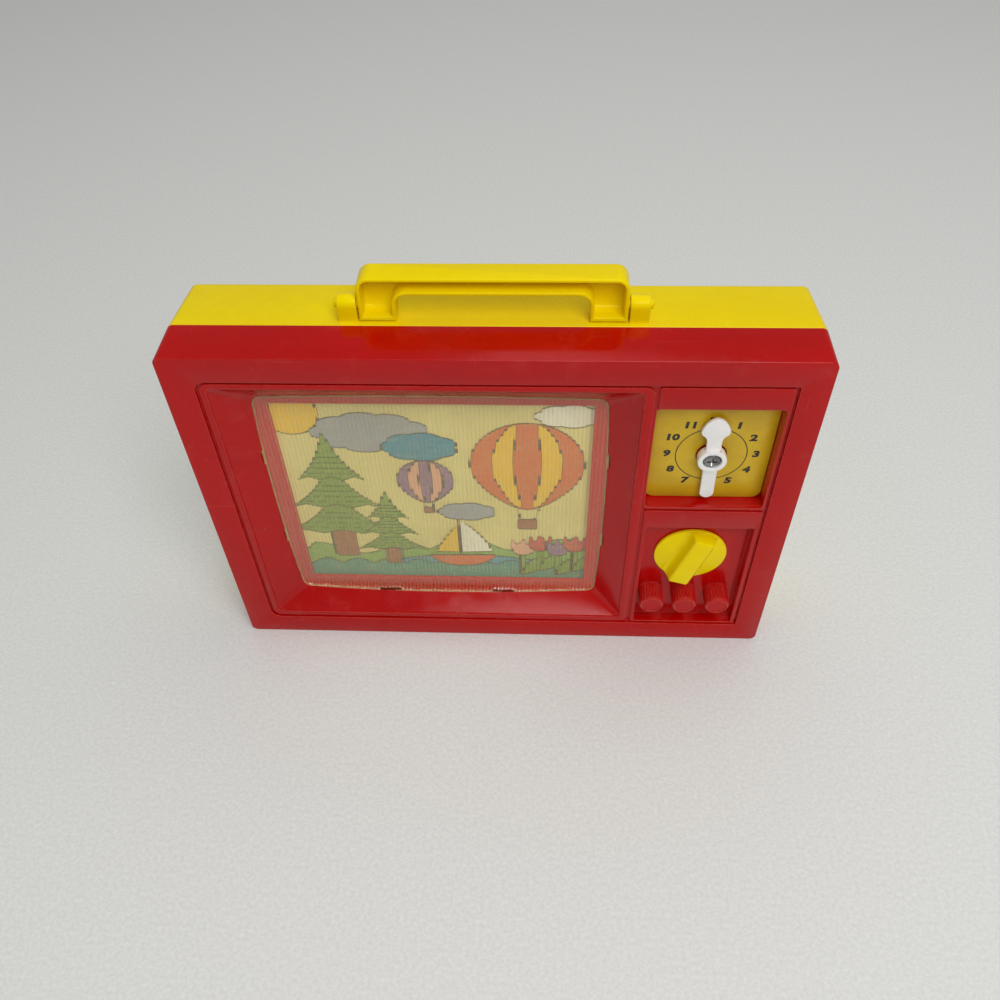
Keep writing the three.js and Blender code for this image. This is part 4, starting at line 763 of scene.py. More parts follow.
@dataclass(frozen=True)
class Metal(Finish):
    """A metal with turned or rolled grain and a little tarnish."""

    colour: Colour
    tarnish: Colour
    smooth: float = 0.22
    dull: float = 0.45

    def surface(self, sheet: Sheet) -> Socket:
        """Grain and stains under bright rubbed edges."""
        wear = Effects.EDGE_WEAR.place(sheet, {"Reach": 0.0003, "Amount": 0.6})
        stain = sheet.ranged(sheet.noise(160.0, 5.0, 0.62), 0.42, 0.68)
        colour = sheet.mixed(wear["Mask"], sheet.mixed(stain, self.colour, self.tarnish), self.colour)
        lines = sheet.noise(900.0, 2.0, 0.5, sheet.stretched(1.0, 8.0, 1.0))
        grain = sheet.math("ADD", sheet.times(lines, 0.5), sheet.times(stain, 0.5))
        rough = sheet.ranged(grain, 0.2, 0.9, self.smooth, self.dull)
        return sheet.principled(colour, rough, sheet.bump(lines, 0.15, MM / 10), Metallic=1.0)


@dataclass(frozen=True)
class ClearPlastic(Finish):
    """The window's clear plastic, which lets the lamps' light through to the picture."""

    name: str = "Clear plastic"
    tint: Colour = (0.985, 0.98, 0.95, 1.0)
    smooth: float = 0.04
    dull: float = 0.16
    # Colour of the milky layer: haze on the window and its edge, painted highlight in the rib stripes, painted shade
    # on the clip feet.
    milk: Colour = srgb(204, 178, 122)
    haze: float = 0.05
    stripe_haze: float = 0.1
    pitch: float = 1.72

    def surface(self, sheet: Sheet) -> Socket:
        """Clear plastic clouded milky, with painted highlight stripes along the upright ribs."""
        marks = Effects.SCUFFS.place(sheet, {"Amount": 1.0})
        film = sheet.ranged(sheet.noise(30.0, 4.0, 0.6), 0.45, 0.7)
        dulled = sheet.math("MAXIMUM", film, marks["Lines"])
        rough = sheet.ranged(dulled, 0.0, 1.0, self.smooth, self.dull)
        glass = sheet.principled(self.tint, rough, sheet.bump(sheet.noise(300.0, 2.0), 0.03, MM / 10),
                                 Transmission_Weight=1.0, IOR=1.47)
        # Upright stripes one rib apart: painted highlight lines for the ribs, mixed into the milky layer.
        scale = {"Vector": sheet.coordinates(), "Scale": math.pi / (10 * self.pitch * MM)}
        waves = sheet.node("TexWave", scale, wave_type="BANDS", bands_direction="X").outputs["Fac"]
        stripes = sheet.ranged(waves, 0.55, 0.95, 0.0, self.stripe_haze)
        cloud = sheet.math("ADD", sheet.ranged(dulled, 0.0, 1.0, self.haze * 0.7, self.haze * 1.5), stripes)
        milky = sheet.node("BsdfDiffuse", {"Color": self.milk}).outputs[0]
        hazed = sheet.node("MixShader", {0: cloud, 1: glass, 2: milky}).outputs[0]
        shadow = sheet.node("BsdfTransparent", {"Color": self.tint}).outputs[0]
        is_shadow = sheet.node("LightPath").outputs["Is Shadow Ray"]
        return sheet.node("MixShader", {0: is_shadow, 1: hazed, 2: shadow}).outputs[0]


INK = "Ink"


@dataclass(frozen=True)
class Print(Finish):
    """Printed ink whose colour is the piece's own attribute, on film or card."""

    pale: Colour
    fade: float = 0.2

    def surface(self, sheet: Sheet) -> Socket:
        """Ink thinned away in grains and streaks."""
        ink = sheet.node("Attribute", attribute_name=INK, attribute_type="GEOMETRY").outputs["Color"]
        grain = sheet.ranged(sheet.noise(1400.0, 2.0, 0.6), 0.35, 0.75)
        streaks = sheet.ranged(sheet.noise(420.0, 2.0, 0.5, sheet.stretched(0.4, 1.0, 2.6)), 0.5, 0.7)
        faded = sheet.mixed(sheet.times(sheet.math("ADD", grain, streaks), self.fade), ink, self.pale)
        clouds = sheet.ranged(sheet.noise(26.0, 3.0), 0.35, 0.7)
        aged = sheet.mixed(sheet.times(clouds, 0.16), faded, srgb(176, 158, 96), "MULTIPLY")
        rough = sheet.ranged(clouds, 0.0, 1.0, 0.35, 0.55)
        return sheet.principled(aged, rough, sheet.bump(grain, 0.05, MM / 20))


class Card(Finish):
    """The dial's printed card: mustard ink with clouds and dark specks."""

    def surface(self, sheet: Sheet) -> Socket:
        """Mottled ink on slightly rough card."""
        clouds = sheet.ranged(sheet.noise(60.0, 4.0, 0.6), 0.38, 0.68)
        base = sheet.mixed(clouds, srgb(214, 178, 12), srgb(196, 158, 10))
        specks = sheet.times(sheet.ranged(sheet.cells(330.0), 0.13, 0.07), sheet.ranged(sheet.noise(90.0), 0.45, 0.6))
        colour = sheet.mixed(sheet.times(specks, 0.6), base, srgb(128, 104, 30))
        rough = sheet.ranged(sheet.noise(140.0, 3.0), 0.35, 0.7, 0.28, 0.48)
        return sheet.principled(colour, rough, sheet.bump(sheet.noise(700.0, 3.0), 0.08, MM / 10))


class Felt(Finish):
    """The floor's pale felt."""

    def surface(self, sheet: Sheet) -> Socket:
        """Fine fibres in two near whites."""
        felt = sheet.noise(620.0, 5.0, 0.7)
        colour = sheet.mixed(sheet.ranged(felt, 0.36, 0.66), srgb(224, 225, 223), srgb(238, 239, 237))
        return sheet.principled(colour, 0.9, sheet.bump(felt, 0.2, MM / 2))


class Finishes:
    """Every finish of the toy, built once."""

    def __init__(self) -> None:
        """Builds the shared effects and the materials."""
        for build_effect in (edge_wear, scuffs, dust, moulding_skin):
            build_effect()
        pale = srgb(236, 214, 206)
        # The red's pale pink edge colour is partly wear and partly a painted highlight along its edges, such as the
        # front's top edge.
        self.red = Plastic("Red plastic", srgb(186, 3, 2), srgb(176, 3, 3), srgb(232, 132, 118), smooth=0.12,
                           dull=0.24, wear=0.5, dirt=0.08, marks=0.45, shine=0.28, reach=0.00032).make()
        self.yellow = Plastic("Yellow plastic", srgb(250, 224, 0), srgb(244, 214, 0), srgb(246, 228, 70),
                              smooth=0.18, dull=0.32, wear=0.25, dirt=0.05, marks=0.4, shine=0.24,
                              glint=(1.0, 0.85, 0.2, 1.0)).make()
        self.white = Plastic("White plastic", srgb(252, 252, 250), srgb(246, 244, 242), pale, glow=0.1,
                             dirt=0.1, marks=0.3).make()
        self.clear = ClearPlastic().make()
        self.clear_edge = ClearPlastic("Clear plastic edge", haze=0.5, stripe_haze=0.0, smooth=0.1).make()
        # The clip feet's dark brown milky layer is painted shade, standing in for the shadow deep in the two lower
        # slots.
        self.clear_clip = ClearPlastic("Clear plastic clip with painted shade", milk=srgb(92, 44, 22), haze=0.62,
                                       stripe_haze=0.0).make()
        self.card = Card("Dial card").make()
        self.dial_ink = Print("Dial ink", srgb(120, 96, 30), fade=0.06).make()
        self.film = Print("Printed film", srgb(206, 196, 140)).make()
        self.natural = Plastic("Natural plastic", srgb(222, 218, 204), srgb(206, 200, 182), pale, smooth=0.35,
                               dull=0.55, glow=0.15).make()
        self.steel = Metal("Steel", srgb(184, 186, 190), srgb(120, 116, 110)).make()
        self.screw_steel = Metal("Screw steel", srgb(150, 150, 150), srgb(74, 70, 66), 0.25, 0.5).make()
        self.brass = Metal("Brass", srgb(206, 172, 92), srgb(140, 108, 52)).make()
        self.cast = Metal("Cast metal", srgb(160, 162, 164), srgb(116, 116, 114), 0.4, 0.62).make()
        self.blue_steel = Metal("Spring steel", srgb(112, 120, 134), srgb(66, 66, 74), 0.2, 0.4).make()


# Case

@dataclass
class FrontCase:
    """The red front: a frame, sunk panels, the screen's sloping surround, and the knob and dial wells."""

    finishes: Finishes
    depth: float = 20.0
    wall: float = 2.4
    corner: float = 3.0
    edge: float = 0.4
    frame_left: float = 12.5
    frame_right: float = 11.4
    frame_top: float = 11.7
    frame_bottom: float = 11.8
    step: float = 1.5
    groove: float = 1.3
    low_groove: float = 0.6
    groove_depth: float = 1.8
    panel_rise: float = 0.55
    column_width: float = 50.8
    column_bar: float = 1.8
    column_rail: float = 2.4
    rim_radius: float = 4.5
    panel_radius: float = 0.8
    ledge: float = 3.8
    lens_depth: float = 9.5
    lens_thickness: float = 1.5
    lens_radius: float = 4.5
    swell: Swell = Swell(1.6, 1.0, 1.6, 3.0)
    clip_shares: tuple[float, ...] = (0.31, 0.72)
    clip_length: float = 8.0
    slot_shares: tuple[float, ...] = (0.3, 0.69)
    slot_length: float = 10.5
    seat_gap: float = 0.3
    seat_thickness: float = 1.6
    panel_wall: float = 2.2
    border: tuple[float, ...] = (5.3, 5.3, 6.0, 4.5)
    lens_margins: tuple[float, ...] = (16.5, 16.0, 13.0, 14.8)
    dial_strip: float = 11.9
    dial_height: float = 55.0
    dial_left: float = -0.3
    dial_right: float = 2.3
    dial_radius: float = 1.8
    dial_floor: float = 8.1
    knob_strip: float = 10.7
    recess_side: float = 1.6
    recess_right: float = 2.8
    recess_floor: float = 5.8
    knob_radius: float = 5.7
    knob_rise: float = 18.4
    knob_pitch: float = 15.2
    knob_length: float = 9.7
    knob_groove: float = 0.42
    knob_flutes: int = 26
    knob_wall: float = 1.8
    face_rim: float = 0.8
    face_dip: float = 0.35
    boss_radius: float = 4.0
    boss_bore: float = 1.5
    clock_bore: float = 1.7
    sleeve_bore: float = 4.6
    soft: float = 0.32
    sharp: float = 24.0

    def __post_init__(self) -> None:
        """Works out the places that the pieces share."""
        case = extent("front_case")
        half, top = case.right, case.top
        right, low, high = half - self.frame_right, self.frame_bottom, top - self.frame_top
        self.outside = Span(-half, half, 0, top)
        self.column = Span(right - self.column_width, right, low, high)
        self.rim = Span(-half + self.frame_left, self.column.left - self.column_bar, low, high)
        self.lens = self.rim.inside(*self.lens_margins)
        self.aperture = self.lens.inside(*self.border)
        dial_top = high - self.dial_strip
        self.dial = Span(self.column.left + self.dial_left, right - self.dial_right, dial_top - self.dial_height,
                         dial_top)
        self.knob_panel = Span(self.column.left, right, low, self.dial.bottom - self.column_rail)
        self.recess = self.knob_panel.inside(self.recess_side, self.recess_right, self.recess_side, self.knob_strip)
        self.seat = self.lens_depth + self.lens_thickness + self.seat_gap
        self.wind = extent("wind_knob").middle
        self.clock = extent("clock_hand_screw").middle
        self.screws = [extent(name).middle for name in CASE_SCREWS]
        self.knob_centre = (self.wind[0], self.recess.bottom + self.knob_rise)
        self.knob_face = self.recess_floor - self.knob_length

    def lens_loop(self, by: float) -> Loop:
        """The window's outline, grown by an amount."""
        return rounded(self.lens.grown(by), self.lens_radius + by, self.swell, 2 * CORNER_STEPS)

    def clip_boxes(self, reach: float) -> list[Span]:
        """Where the window's four side clips stand, two on a side."""
        lens, boxes = self.lens, []
        for share in self.clip_shares:
            z = lens.bottom + (lens.top - lens.bottom) * share
            low, high = z - self.clip_length / 2, z + self.clip_length / 2
            out = reach + self.swell.left * (1 - abs(2 * share - 1))
            boxes.append(Span(lens.left - out, lens.left + 2, low, high))
            boxes.append(Span(lens.right - 2, lens.right + out, low, high))
        return boxes

    def slot_boxes(self) -> list[Span]:
        """The two slots on the window's lower edge, darkened by the painted shade of the clip feet that sit in them.
        """
        lens, half = self.lens, self.slot_length / 2
        level = lens.bottom - self.swell.bottom * 0.55
        places = [lens.left + (lens.right - lens.left) * share for share in self.slot_shares]
        return [Span(x - half, x + half, level - 0.7, level + 0.8) for x in places]

    def even_loop(self, box: Span, radius: float) -> Loop:
        """A straight-sided outline with as many points as the window's."""
        return rounded(box, radius, Swell(), 2 * CORNER_STEPS)

    def shell(self) -> Piece:
        """The outer shell, open at the back."""
        shell = block("front_case", self.outside, 0, self.depth, self.corner)
        bevel(shell, lambda edge: max(map(abs, depths(edge))) < MM, self.edge, 4)
        hollow = block("hollow", self.outside.grown(-self.wall), self.wall, self.depth + OVERRUN)
        return combine(shell, Join.CUT, hollow)

    def channel(self) -> Piece:
        """The groove's whole pocket, round in its two left corners."""
        left, right, bottom, top = self.rim.left, self.column.right, self.rim.bottom, self.rim.top
        small, large = self.panel_radius, self.rim_radius
        outline = arc((right - small, bottom + small), small, -90, 0)
        outline += arc((right - small, top - small), small, 0, 90)
        outline += arc((left + large, top - large), large, 90, 180)
        outline += arc((left + large, bottom + large), large, 180, 270)
        return prism("channel", outline, -OVERRUN, self.groove_depth)

    def panels(self) -> list[Piece]:
        """The panels inside the groove, which stand almost level with the frame."""
        low, high = self.rim.bottom + self.low_groove, self.rim.top - self.groove
        left, right, middle = self.column.left, self.column.right - self.groove, self.knob_panel.top
        boxes = [
            (Span(self.rim.left + self.groove, self.rim.right, low, high), self.rim_radius - self.groove / 2),
            (Span(left, right, middle + self.groove, high), self.panel_radius),
            (Span(left, right, low, middle), self.panel_radius),
        ]
        return [block("panel", box, self.panel_rise, self.wall, radius) for box, radius in boxes]

    def backing(self) -> list[Piece]:
        """The walls behind the face that carry the surround, the dial well and the knob well."""
        wall, start = self.panel_wall, self.groove_depth + self.wall / 8
        behind, around = self.even_loop(self.rim.grown(wall - self.ledge), self.rim_radius), self.lens_loop(wall)
        surround = drawn_out("surround", [(start, behind), (self.step + wall, behind), (self.lens_depth, around),
                                          (self.seat + self.seat_thickness, around)])
        return [surround, block("dial_well", self.dial.grown(wall), start, self.dial_floor + wall),
                block("knob_well", self.recess.grown(wall), start, self.recess_floor + wall)]

    def hollows(self) -> list[Piece]:
        """What is cut from the panels: the surround, the window's seat, the dial opening and the recess."""
        mouth = self.even_loop(self.rim.grown(-self.ledge), self.rim_radius - self.ledge / 2)
        throat, front, through = self.lens_loop(self.seat_gap), self.lens_depth, self.seat + 2 * self.seat_thickness
        return [
            drawn_out("funnel", [(-OVERRUN, mouth), (self.step, mouth), (front, throat), (self.seat, throat)]),
            *(block("notch", box, front - 1.2, self.seat, 0.3) for box in self.clip_boxes(1.5)),
            *(block("slot", box, front - 0.6, through, 0.3) for box in self.slot_boxes()),
            block("window", self.aperture, front, through),
            block("dial_opening", self.dial, 0, self.dial_floor, self.dial_radius),
            block("knob_recess", self.recess, 0, self.recess_floor, self.panel_radius),
        ]

    def moulded_knob(self) -> Piece:
        """One of the three small fluted knobs that are moulded with the case."""
        points, deep, face = 6 * self.knob_flutes, self.knob_groove, self.knob_face
        fluted: Loop = []
        for angle in (2 * math.pi * index / points for index in range(points)):
            radius = self.knob_radius - deep * (0.5 - 0.5 * math.cos(angle * self.knob_flutes))
            fluted.append((radius * math.cos(angle), radius * math.sin(angle)))
        full = turned(fluted, 0, self.knob_centre)
        plain, lip = (circle(self.knob_centre, self.knob_radius - by, points) for by in (deep, 2 * deep))
        knob = drawn_out("small_knob", [(self.recess_floor + self.panel_wall / 2, full), (face + self.face_rim, full),
                                        (face + self.face_dip, plain), (face, lip)])
        dip = rod("dip", self.knob_centre, self.knob_radius - self.face_rim - deep, face - OVERRUN,
                  face + self.face_dip)
        return combine(knob, Join.CUT, dip)

    def bosses(self) -> list[Piece]:
        """The posts inside the case that take the case screws and the clock's screw."""
        return [
            *rods("boss", self.screws, self.boss_radius, self.wall / 2, self.depth, POST_STEPS),
            rod("clock_boss", self.clock, self.boss_radius + 1, extent("clock_hand").back + self.seat_gap,
                self.dial_floor + 5),
        ]

    def bores(self) -> list[Piece]:
        """The holes for the screws, the winding sleeve and the small knobs' hollows."""
        x, z = self.knob_centre
        places = [(x + side * self.knob_pitch, z) for side in (-1, 0, 1)]
        return [
            *rods("pilot", self.screws, self.boss_bore, 2 * self.wall, self.depth + OVERRUN, BORE_STEPS),
            rod("hand_pilot", self.clock, self.clock_bore, 5, extent("clock_hand_screw").back + self.seat_gap,
                BORE_STEPS),
            rod("wind_hole", self.wind, self.sleeve_bore, 0, self.recess_floor + 2 * self.panel_wall),
            *rods("knob_hollow", places, self.knob_radius - self.knob_wall, self.knob_face + self.knob_wall,
                  self.recess_floor + 2 * self.wall, POST_STEPS),
        ]

    def build(self) -> None:
        """Models the front case and dresses it."""
        case = combine(self.shell(), Join.CUT, self.channel())
        combine(case, Join.ADD, *self.panels(), *self.backing())
        combine(case, Join.CUT, *self.hollows())
        soften(case, self.soft, 2, self.sharp, lambda edge: max(depths(edge)) < self.step)
        first = self.moulded_knob()
        shift = Vector((self.knob_pitch * MM, 0, 0))
        others = [copy_of(first, "small_knob_left", -shift), copy_of(first, "small_knob_right", shift)]
        combine(case, Join.ADD, first, *others)
        combine(case, Join.ADD, *self.bosses())
        combine(case, Join.CUT, *self.bores())
        settle(dress(shade(case, self.sharp), self.finishes.red), "case", Slot.RED, "front_case")


@dataclass
class RearCase:
    """The yellow back: a drafted shell with a seam lip, handle lugs, screw wells and sound slots."""

    finishes: Finishes
    front: FrontCase
    depth: float = 49.0
    gap: float = 0.3
    side_draft: float = 2.0
    top_draft: float = 1.0
    back_round: float = 1.6
    lip_height: float = 3.0
    lip_wall: float = 1.2
    lip_corner: float = 1.0
    lug_radius: float = 3.7
    lug_inner: float = 51.2
    lug_outer: float = 58.6
    pin_bore: float = 2.3
    boss_radius: float = 4.0
    well_radius: float = 3.2
    well_depth: float = 17.0
    bore: float = 1.5
    slot_count: int = 8
    slot_pitch: float = 6.0
    slot_width: float = 2.4
    slot_length: float = 34.0
    slot_rise: float = 8.5

    def __post_init__(self) -> None:
        """Takes over what the two halves share."""
        self.seam, self.wall, self.corner = self.front.depth, self.front.wall, self.front.corner
        self.outside = self.front.outside

    def section(self, depth: float, inset: float, wall: float = 0.0) -> Section:
        """The shell's outline at a depth, with its draft.

        Args:
            depth: The depth behind the front face.
            inset: How far the outline is drawn in on every side.
            wall: How much more it is drawn in, for the inner faces.

        Returns:
            The depth and the outline.
        """
        share = (depth - self.seam) / (self.depth - self.seam)
        side = self.outside.right - self.side_draft * share - inset - wall
        top = self.outside.top - self.top_draft * share - inset - wall
        return depth, rounded(Span(-side, side, inset + wall, top), max(self.corner - wall, 1.0))

    def shell(self) -> Piece:
        """The hollow shell with its round rear edges."""
        start, bend_radius, front = self.depth - self.back_round, self.back_round, self.seam + self.gap
        turns = [math.radians(angle) for angle in (0, 22.5, 45, 67.5, 90)]
        rear = [self.section(start + bend_radius * math.sin(a), bend_radius * (1 - math.cos(a))) for a in turns]
        shell = drawn_out("rear_case", [self.section(front, 0.25), self.section(front + 0.25, 0), *rear])
        ends = [self.seam - OVERRUN, self.depth - self.wall]
        return combine(shell, Join.CUT, drawn_out("hollow", [self.section(end, 0, self.wall) for end in ends]))

    def lip(self) -> Piece:
        """The lip that stands inside the front case all round the seam."""
        outside = self.outside.grown(-self.wall - self.gap)
        front, back = self.seam - self.lip_height, self.seam + self.lip_height
        outline = rounded(outside, self.lip_corner)
        ring = drawn_out("lip", [(front, outline), (self.seam, outline),
                                 *(self.section(at, 0, self.wall / 2) for at in (self.seam + self.gap, back))])
        hollow = block("inside", outside.grown(-self.lip_wall), front - OVERRUN, back + OVERRUN)
        return combine(ring, Join.CUT, hollow)

    def lug(self, left: float, right: float) -> Piece:
        """One ear that holds an end of the handle's pin.

        Args:
            left: Its left side.
            right: Its right side.

        Returns:
            The piece, with its edges softened.
        """
        depth, foot = HANDLE_PIVOT[0], self.outside.top - self.wall / 2
        outline = [(depth - self.lug_radius, foot), (depth + self.lug_radius, foot)]
        outline += arc(HANDLE_PIVOT, self.lug_radius, 0, 180, 2 * CORNER_STEPS)
        lug = soften(prism("lug", outline, left, right, Axis.X), 0.5, 3)
        bore = circle(HANDLE_PIVOT, self.pin_bore, POST_STEPS)
        return combine(lug, Join.CUT, prism("pin_bore", bore, left - OVERRUN, right + OVERRUN, Axis.X))

    def slots(self) -> list[Piece]:
        """The upright slots that let the music out."""
        x, z = self.front.wind
        first, half = x - (self.slot_count - 1) * self.slot_pitch / 2, self.slot_width / 2
        places = [(first + index * self.slot_pitch, z + self.slot_rise) for index in range(self.slot_count)]
        return [block("slot", about(place, half, self.slot_length / 2), self.depth - 2 * self.wall,
                      self.depth + OVERRUN, half * 0.98) for place in places]

    def build(self) -> None:
        """Models the rear case and dresses it."""
        case, places, back = self.shell(), self.front.screws, self.depth + OVERRUN
        pillars = rods("pillar", places, self.boss_radius, self.seam + self.gap, self.depth - self.wall / 2,
                       POST_STEPS)
        combine(case, Join.ADD, self.lip(), *pillars)
        wells = rods("well", places, self.well_radius, self.depth - self.well_depth, back, 2 * BORE_STEPS)
        bores = rods("bore", places, self.bore, self.seam - OVERRUN, self.depth, BORE_STEPS)
        combine(case, Join.CUT, *wells, *bores, *self.slots())
        soften(case, 0.35, 2, SHARP, lambda edge: min(depths(edge)) > self.depth - self.wall / 3)
        lugs = [self.lug(-self.lug_outer, -self.lug_inner), self.lug(self.lug_inner, self.lug_outer)]
        combine(case, Join.ADD, *lugs)
        settle(dress(shade(case, 28), self.finishes.yellow), "case", Slot.YELLOW, "rear_case")


@dataclass
class CarryHandle:
    """The folding handle: a channel section, open at the front, with a pin at each foot."""

    finishes: Finishes
    base_half: float = 50.6
    top_half: float = 50.5
    leg: float = 14.2
    rise: float = 12.7
    grip: float = 7.2
    outer_radius: float = 5.0
    inner_radius: float = 4.5
    wall: float = 1.5
    foot: float = 5.8
    front: float = 3.4
    back_top: float = 7.2
    back_foot: float = 4.8
    pin_radius: float = 2.0
    pin_reach: float = 60.3

    def outline(self, inset: float) -> Loop:
        """The handle from the front, drawn in by an amount."""
        base, top_half = self.base_half - inset, self.top_half - inset
        inner = self.base_half - self.leg + inset
        foot, top, under = inset - self.foot, self.rise - inset, self.rise - self.grip + inset
        outer_r, inner_r = self.outer_radius - inset, self.inner_radius + inset
        right = [(inner, foot), (base, foot), *arc((top_half - outer_r, top - outer_r), outer_r, 0, 90)]
        left = [(-x, z) for x, z in reversed(right)]
        inside = arc((-inner + inner_r, under - inner_r), inner_r, 180, 90)
        inside += arc((inner - inner_r, under - inner_r), inner_r, 90, 0)
        return [(x, z + HANDLE_PIVOT[1]) for x, z in right + left + inside]

    def profile(self, inset: float) -> Loop:
        """The handle from its side: square at the front of its foot and round behind it."""
        radius = self.foot - inset
        front = -self.front - (OVERRUN if inset else 0)
        stop = math.degrees(math.asin(min(self.back_foot - inset, radius) / radius))
        loop = [(front, -radius), *arc((0, 0), radius, -90, -90 + stop)]
        loop += [(self.back_top - inset, self.rise), (front, self.rise)]
        return [(depth + HANDLE_PIVOT[0], z + HANDLE_PIVOT[1]) for depth, z in loop]

    def solid(self, inset: float) -> Piece:
        """The handle's block, drawn in by an amount."""
        depth, half = HANDLE_PIVOT[0], self.base_half + OVERRUN
        front = depth - self.front - (OVERRUN if inset else 0)
        body = prism("carry_handle", self.outline(inset), front, depth + self.back_top)
        return combine(body, Join.KEEP, prism("side", self.profile(inset), -half, half, Axis.X))

    def pin(self, side: int) -> Piece:
        """One of the pins that turn in the lugs, with a domed end."""
        shoulder = side * (self.pin_reach - self.pin_radius / 2)
        steps = [(side * (self.base_half - self.wall / 2), 1.0), (shoulder, 1.0)]
        for turn in map(math.radians, (30, 55, 75)):
            steps.append((shoulder + side * self.pin_radius / 2 * math.sin(turn), math.cos(turn)))
        sections = [(at, circle(HANDLE_PIVOT, self.pin_radius * share, POST_STEPS)) for at, share in steps]
        return drawn_out("pin", sections, Axis.X)

    def build(self) -> None:
        """Models the handle and dresses it."""
        handle = combine(self.solid(0), Join.CUT, self.solid(self.wall))
        soften(handle, 0.5, 3, SHARP)
        handle = shade(merged([handle, self.pin(1), self.pin(-1)]))
        settle(dress(handle, self.finishes.yellow), "handle", Slot.YELLOW, "carry_handle")


# Window and picture

@dataclass
class ScreenLens:
    """The clear window, ribbed upright all over its front, with six clips on its edge."""

    finishes: Finishes
    case: FrontCase
    rib_pitch: float = 1.72
    rib_height: float = 0.15
    rib_steps: int = 5
    clip_reach: float = 1.2
    edge_width: float = 0.45

    def __post_init__(self) -> None:
        """Works out the depths of the window's two faces."""
        self.front = self.case.lens_depth
        self.back = self.front + self.case.lens_thickness

    def ribbed_sheet(self) -> Piece:
        """A sheet whose front is a row of upright round ribs, larger than the window."""
        box = self.case.lens.grown(3 * self.clip_reach)
        count = math.ceil((box.right - box.left) / self.rib_pitch)
        outline: Loop = []
        for rib in range(count):
            for share in (step / self.rib_steps for step in range(self.rib_steps)):
                dip = self.rib_height * (2 * share - 1) ** 2
                outline.append((box.left + (rib + share) * self.rib_pitch, self.front + dip))
        end = box.left + count * self.rib_pitch
        outline += [(end, self.front + self.rib_height), (end, self.back), (box.left, self.back)]
        return prism("screen_lens", outline, box.bottom - 3, box.top + 3, Axis.Z)

    def gaps(self, front: float) -> list[Piece]:
        """What is cut away round the two feet, from a depth to behind the window."""
        return [block("gap", box.grown(0.2), front, self.back + OVERRUN) for box in self.case.slot_boxes()]

    def clips(self) -> list[Piece]:
        """The tabs that snap into the surround's notches."""
        front = self.front + 0.25
        boxes = [box.grown(-0.2) for box in self.case.clip_boxes(self.clip_reach)]
        clips = [block("clip", box, front, self.back, 0.6) for box in boxes]
        loop = self.case.lens_loop(0.02)
        for clip in clips:
            combine(clip, Join.CUT, prism("pane", loop, front - OVERRUN, self.back + OVERRUN))
            dress(clip, self.finishes.clear_edge)
        # The feet are dressed dark brown: painted shade for the shadowed lower slots.
        feet = [block("foot", box.grown(-0.1), front - 0.2, self.back, 0.3) for box in self.case.slot_boxes()]
        return clips + [dress(foot, self.finishes.clear_clip) for foot in feet]

    def edge_line(self) -> Piece:
        """The milky bead that runs round the window, with a nib at each end of a clip."""
        front, back = self.front - 0.04, self.front + self.case.lens_thickness / 2
        bead = prism("edge_line", self.case.lens_loop(0.02), front, back)
        inner = self.case.lens_loop(-self.edge_width)
        combine(bead, Join.CUT, prism("inside", inner, front - OVERRUN, back + OVERRUN))
        nibs = []
        for box in self.case.clip_boxes(self.clip_reach - 0.4):
            x = box.left if box.left < self.case.lens.left else box.right
            nibs += rods("nib", [(x, box.bottom + 0.6), (x, box.top - 0.6)], 0.35, front + 0.1, back, 12)
        combine(bead, Join.CUT, *self.gaps(front - OVERRUN))
        return dress(merged([bead, *nibs]), self.finishes.clear_edge)

    def build(self) -> None:
        """Models the window and dresses it."""
        lens, front = self.ribbed_sheet(), self.front - OVERRUN
        loop = self.case.lens_loop(-self.edge_width)
        combine(lens, Join.KEEP, prism("pane", loop, front, self.back + OVERRUN))
        dress(combine(lens, Join.CUT, *self.gaps(front)), self.finishes.clear)
        lens = shade(merged([lens, self.edge_line(), *self.clips()]), 40)
        settle(lens, "case", Slot.CLEAR, "screen_lens")


class Inks(Enum):
    """The printed colours."""

    LINE = srgb(34, 32, 24)
    CREAM = srgb(228, 216, 140)
    TEAL = srgb(70, 150, 128)
    SEA = srgb(74, 150, 168)
    LEAF = srgb(116, 156, 58)
    GRASS = srgb(132, 176, 84)
    GREY = srgb(158, 166, 172)
    ORANGE = srgb(216, 104, 48)
    RED = srgb(196, 66, 56)
    YELLOW = srgb(242, 198, 40)
    BLUE = srgb(24, 140, 166)
    PURPLE = srgb(140, 106, 142)
    PINK = srgb(232, 172, 142)
    BROWN = srgb(158, 98, 70)
    WHITE = srgb(240, 238, 214)
    BLACK = srgb(28, 26, 22)


def inked(obj: Piece, ink: Inks) -> Piece:
    """Writes a print colour on every point of a piece."""
    activate(obj)
    bpy.ops.geometry.color_attribute_add(name=INK, domain="POINT", data_type="FLOAT_COLOR", color=ink.value)
    return obj


def widened(loop: Loop, by: float) -> Loop:
    """An outline moved outwards along its own corners."""
    area = sum(a[0] * b[1] - b[0] * a[1] for a, b in zip(loop, loop[1:] + loop[:1]))
    side = 1 if area > 0 else -1
    wide: Loop = []
    for index, (x, z) in enumerate(loop):
        before, after = loop[index - 1], loop[(index + 1) % len(loop)]
        along = Vector((after[0] - before[0], after[1] - before[1])).normalized()
        wide.append((x + side * along.y * by, z - side * along.x * by))
    return wide


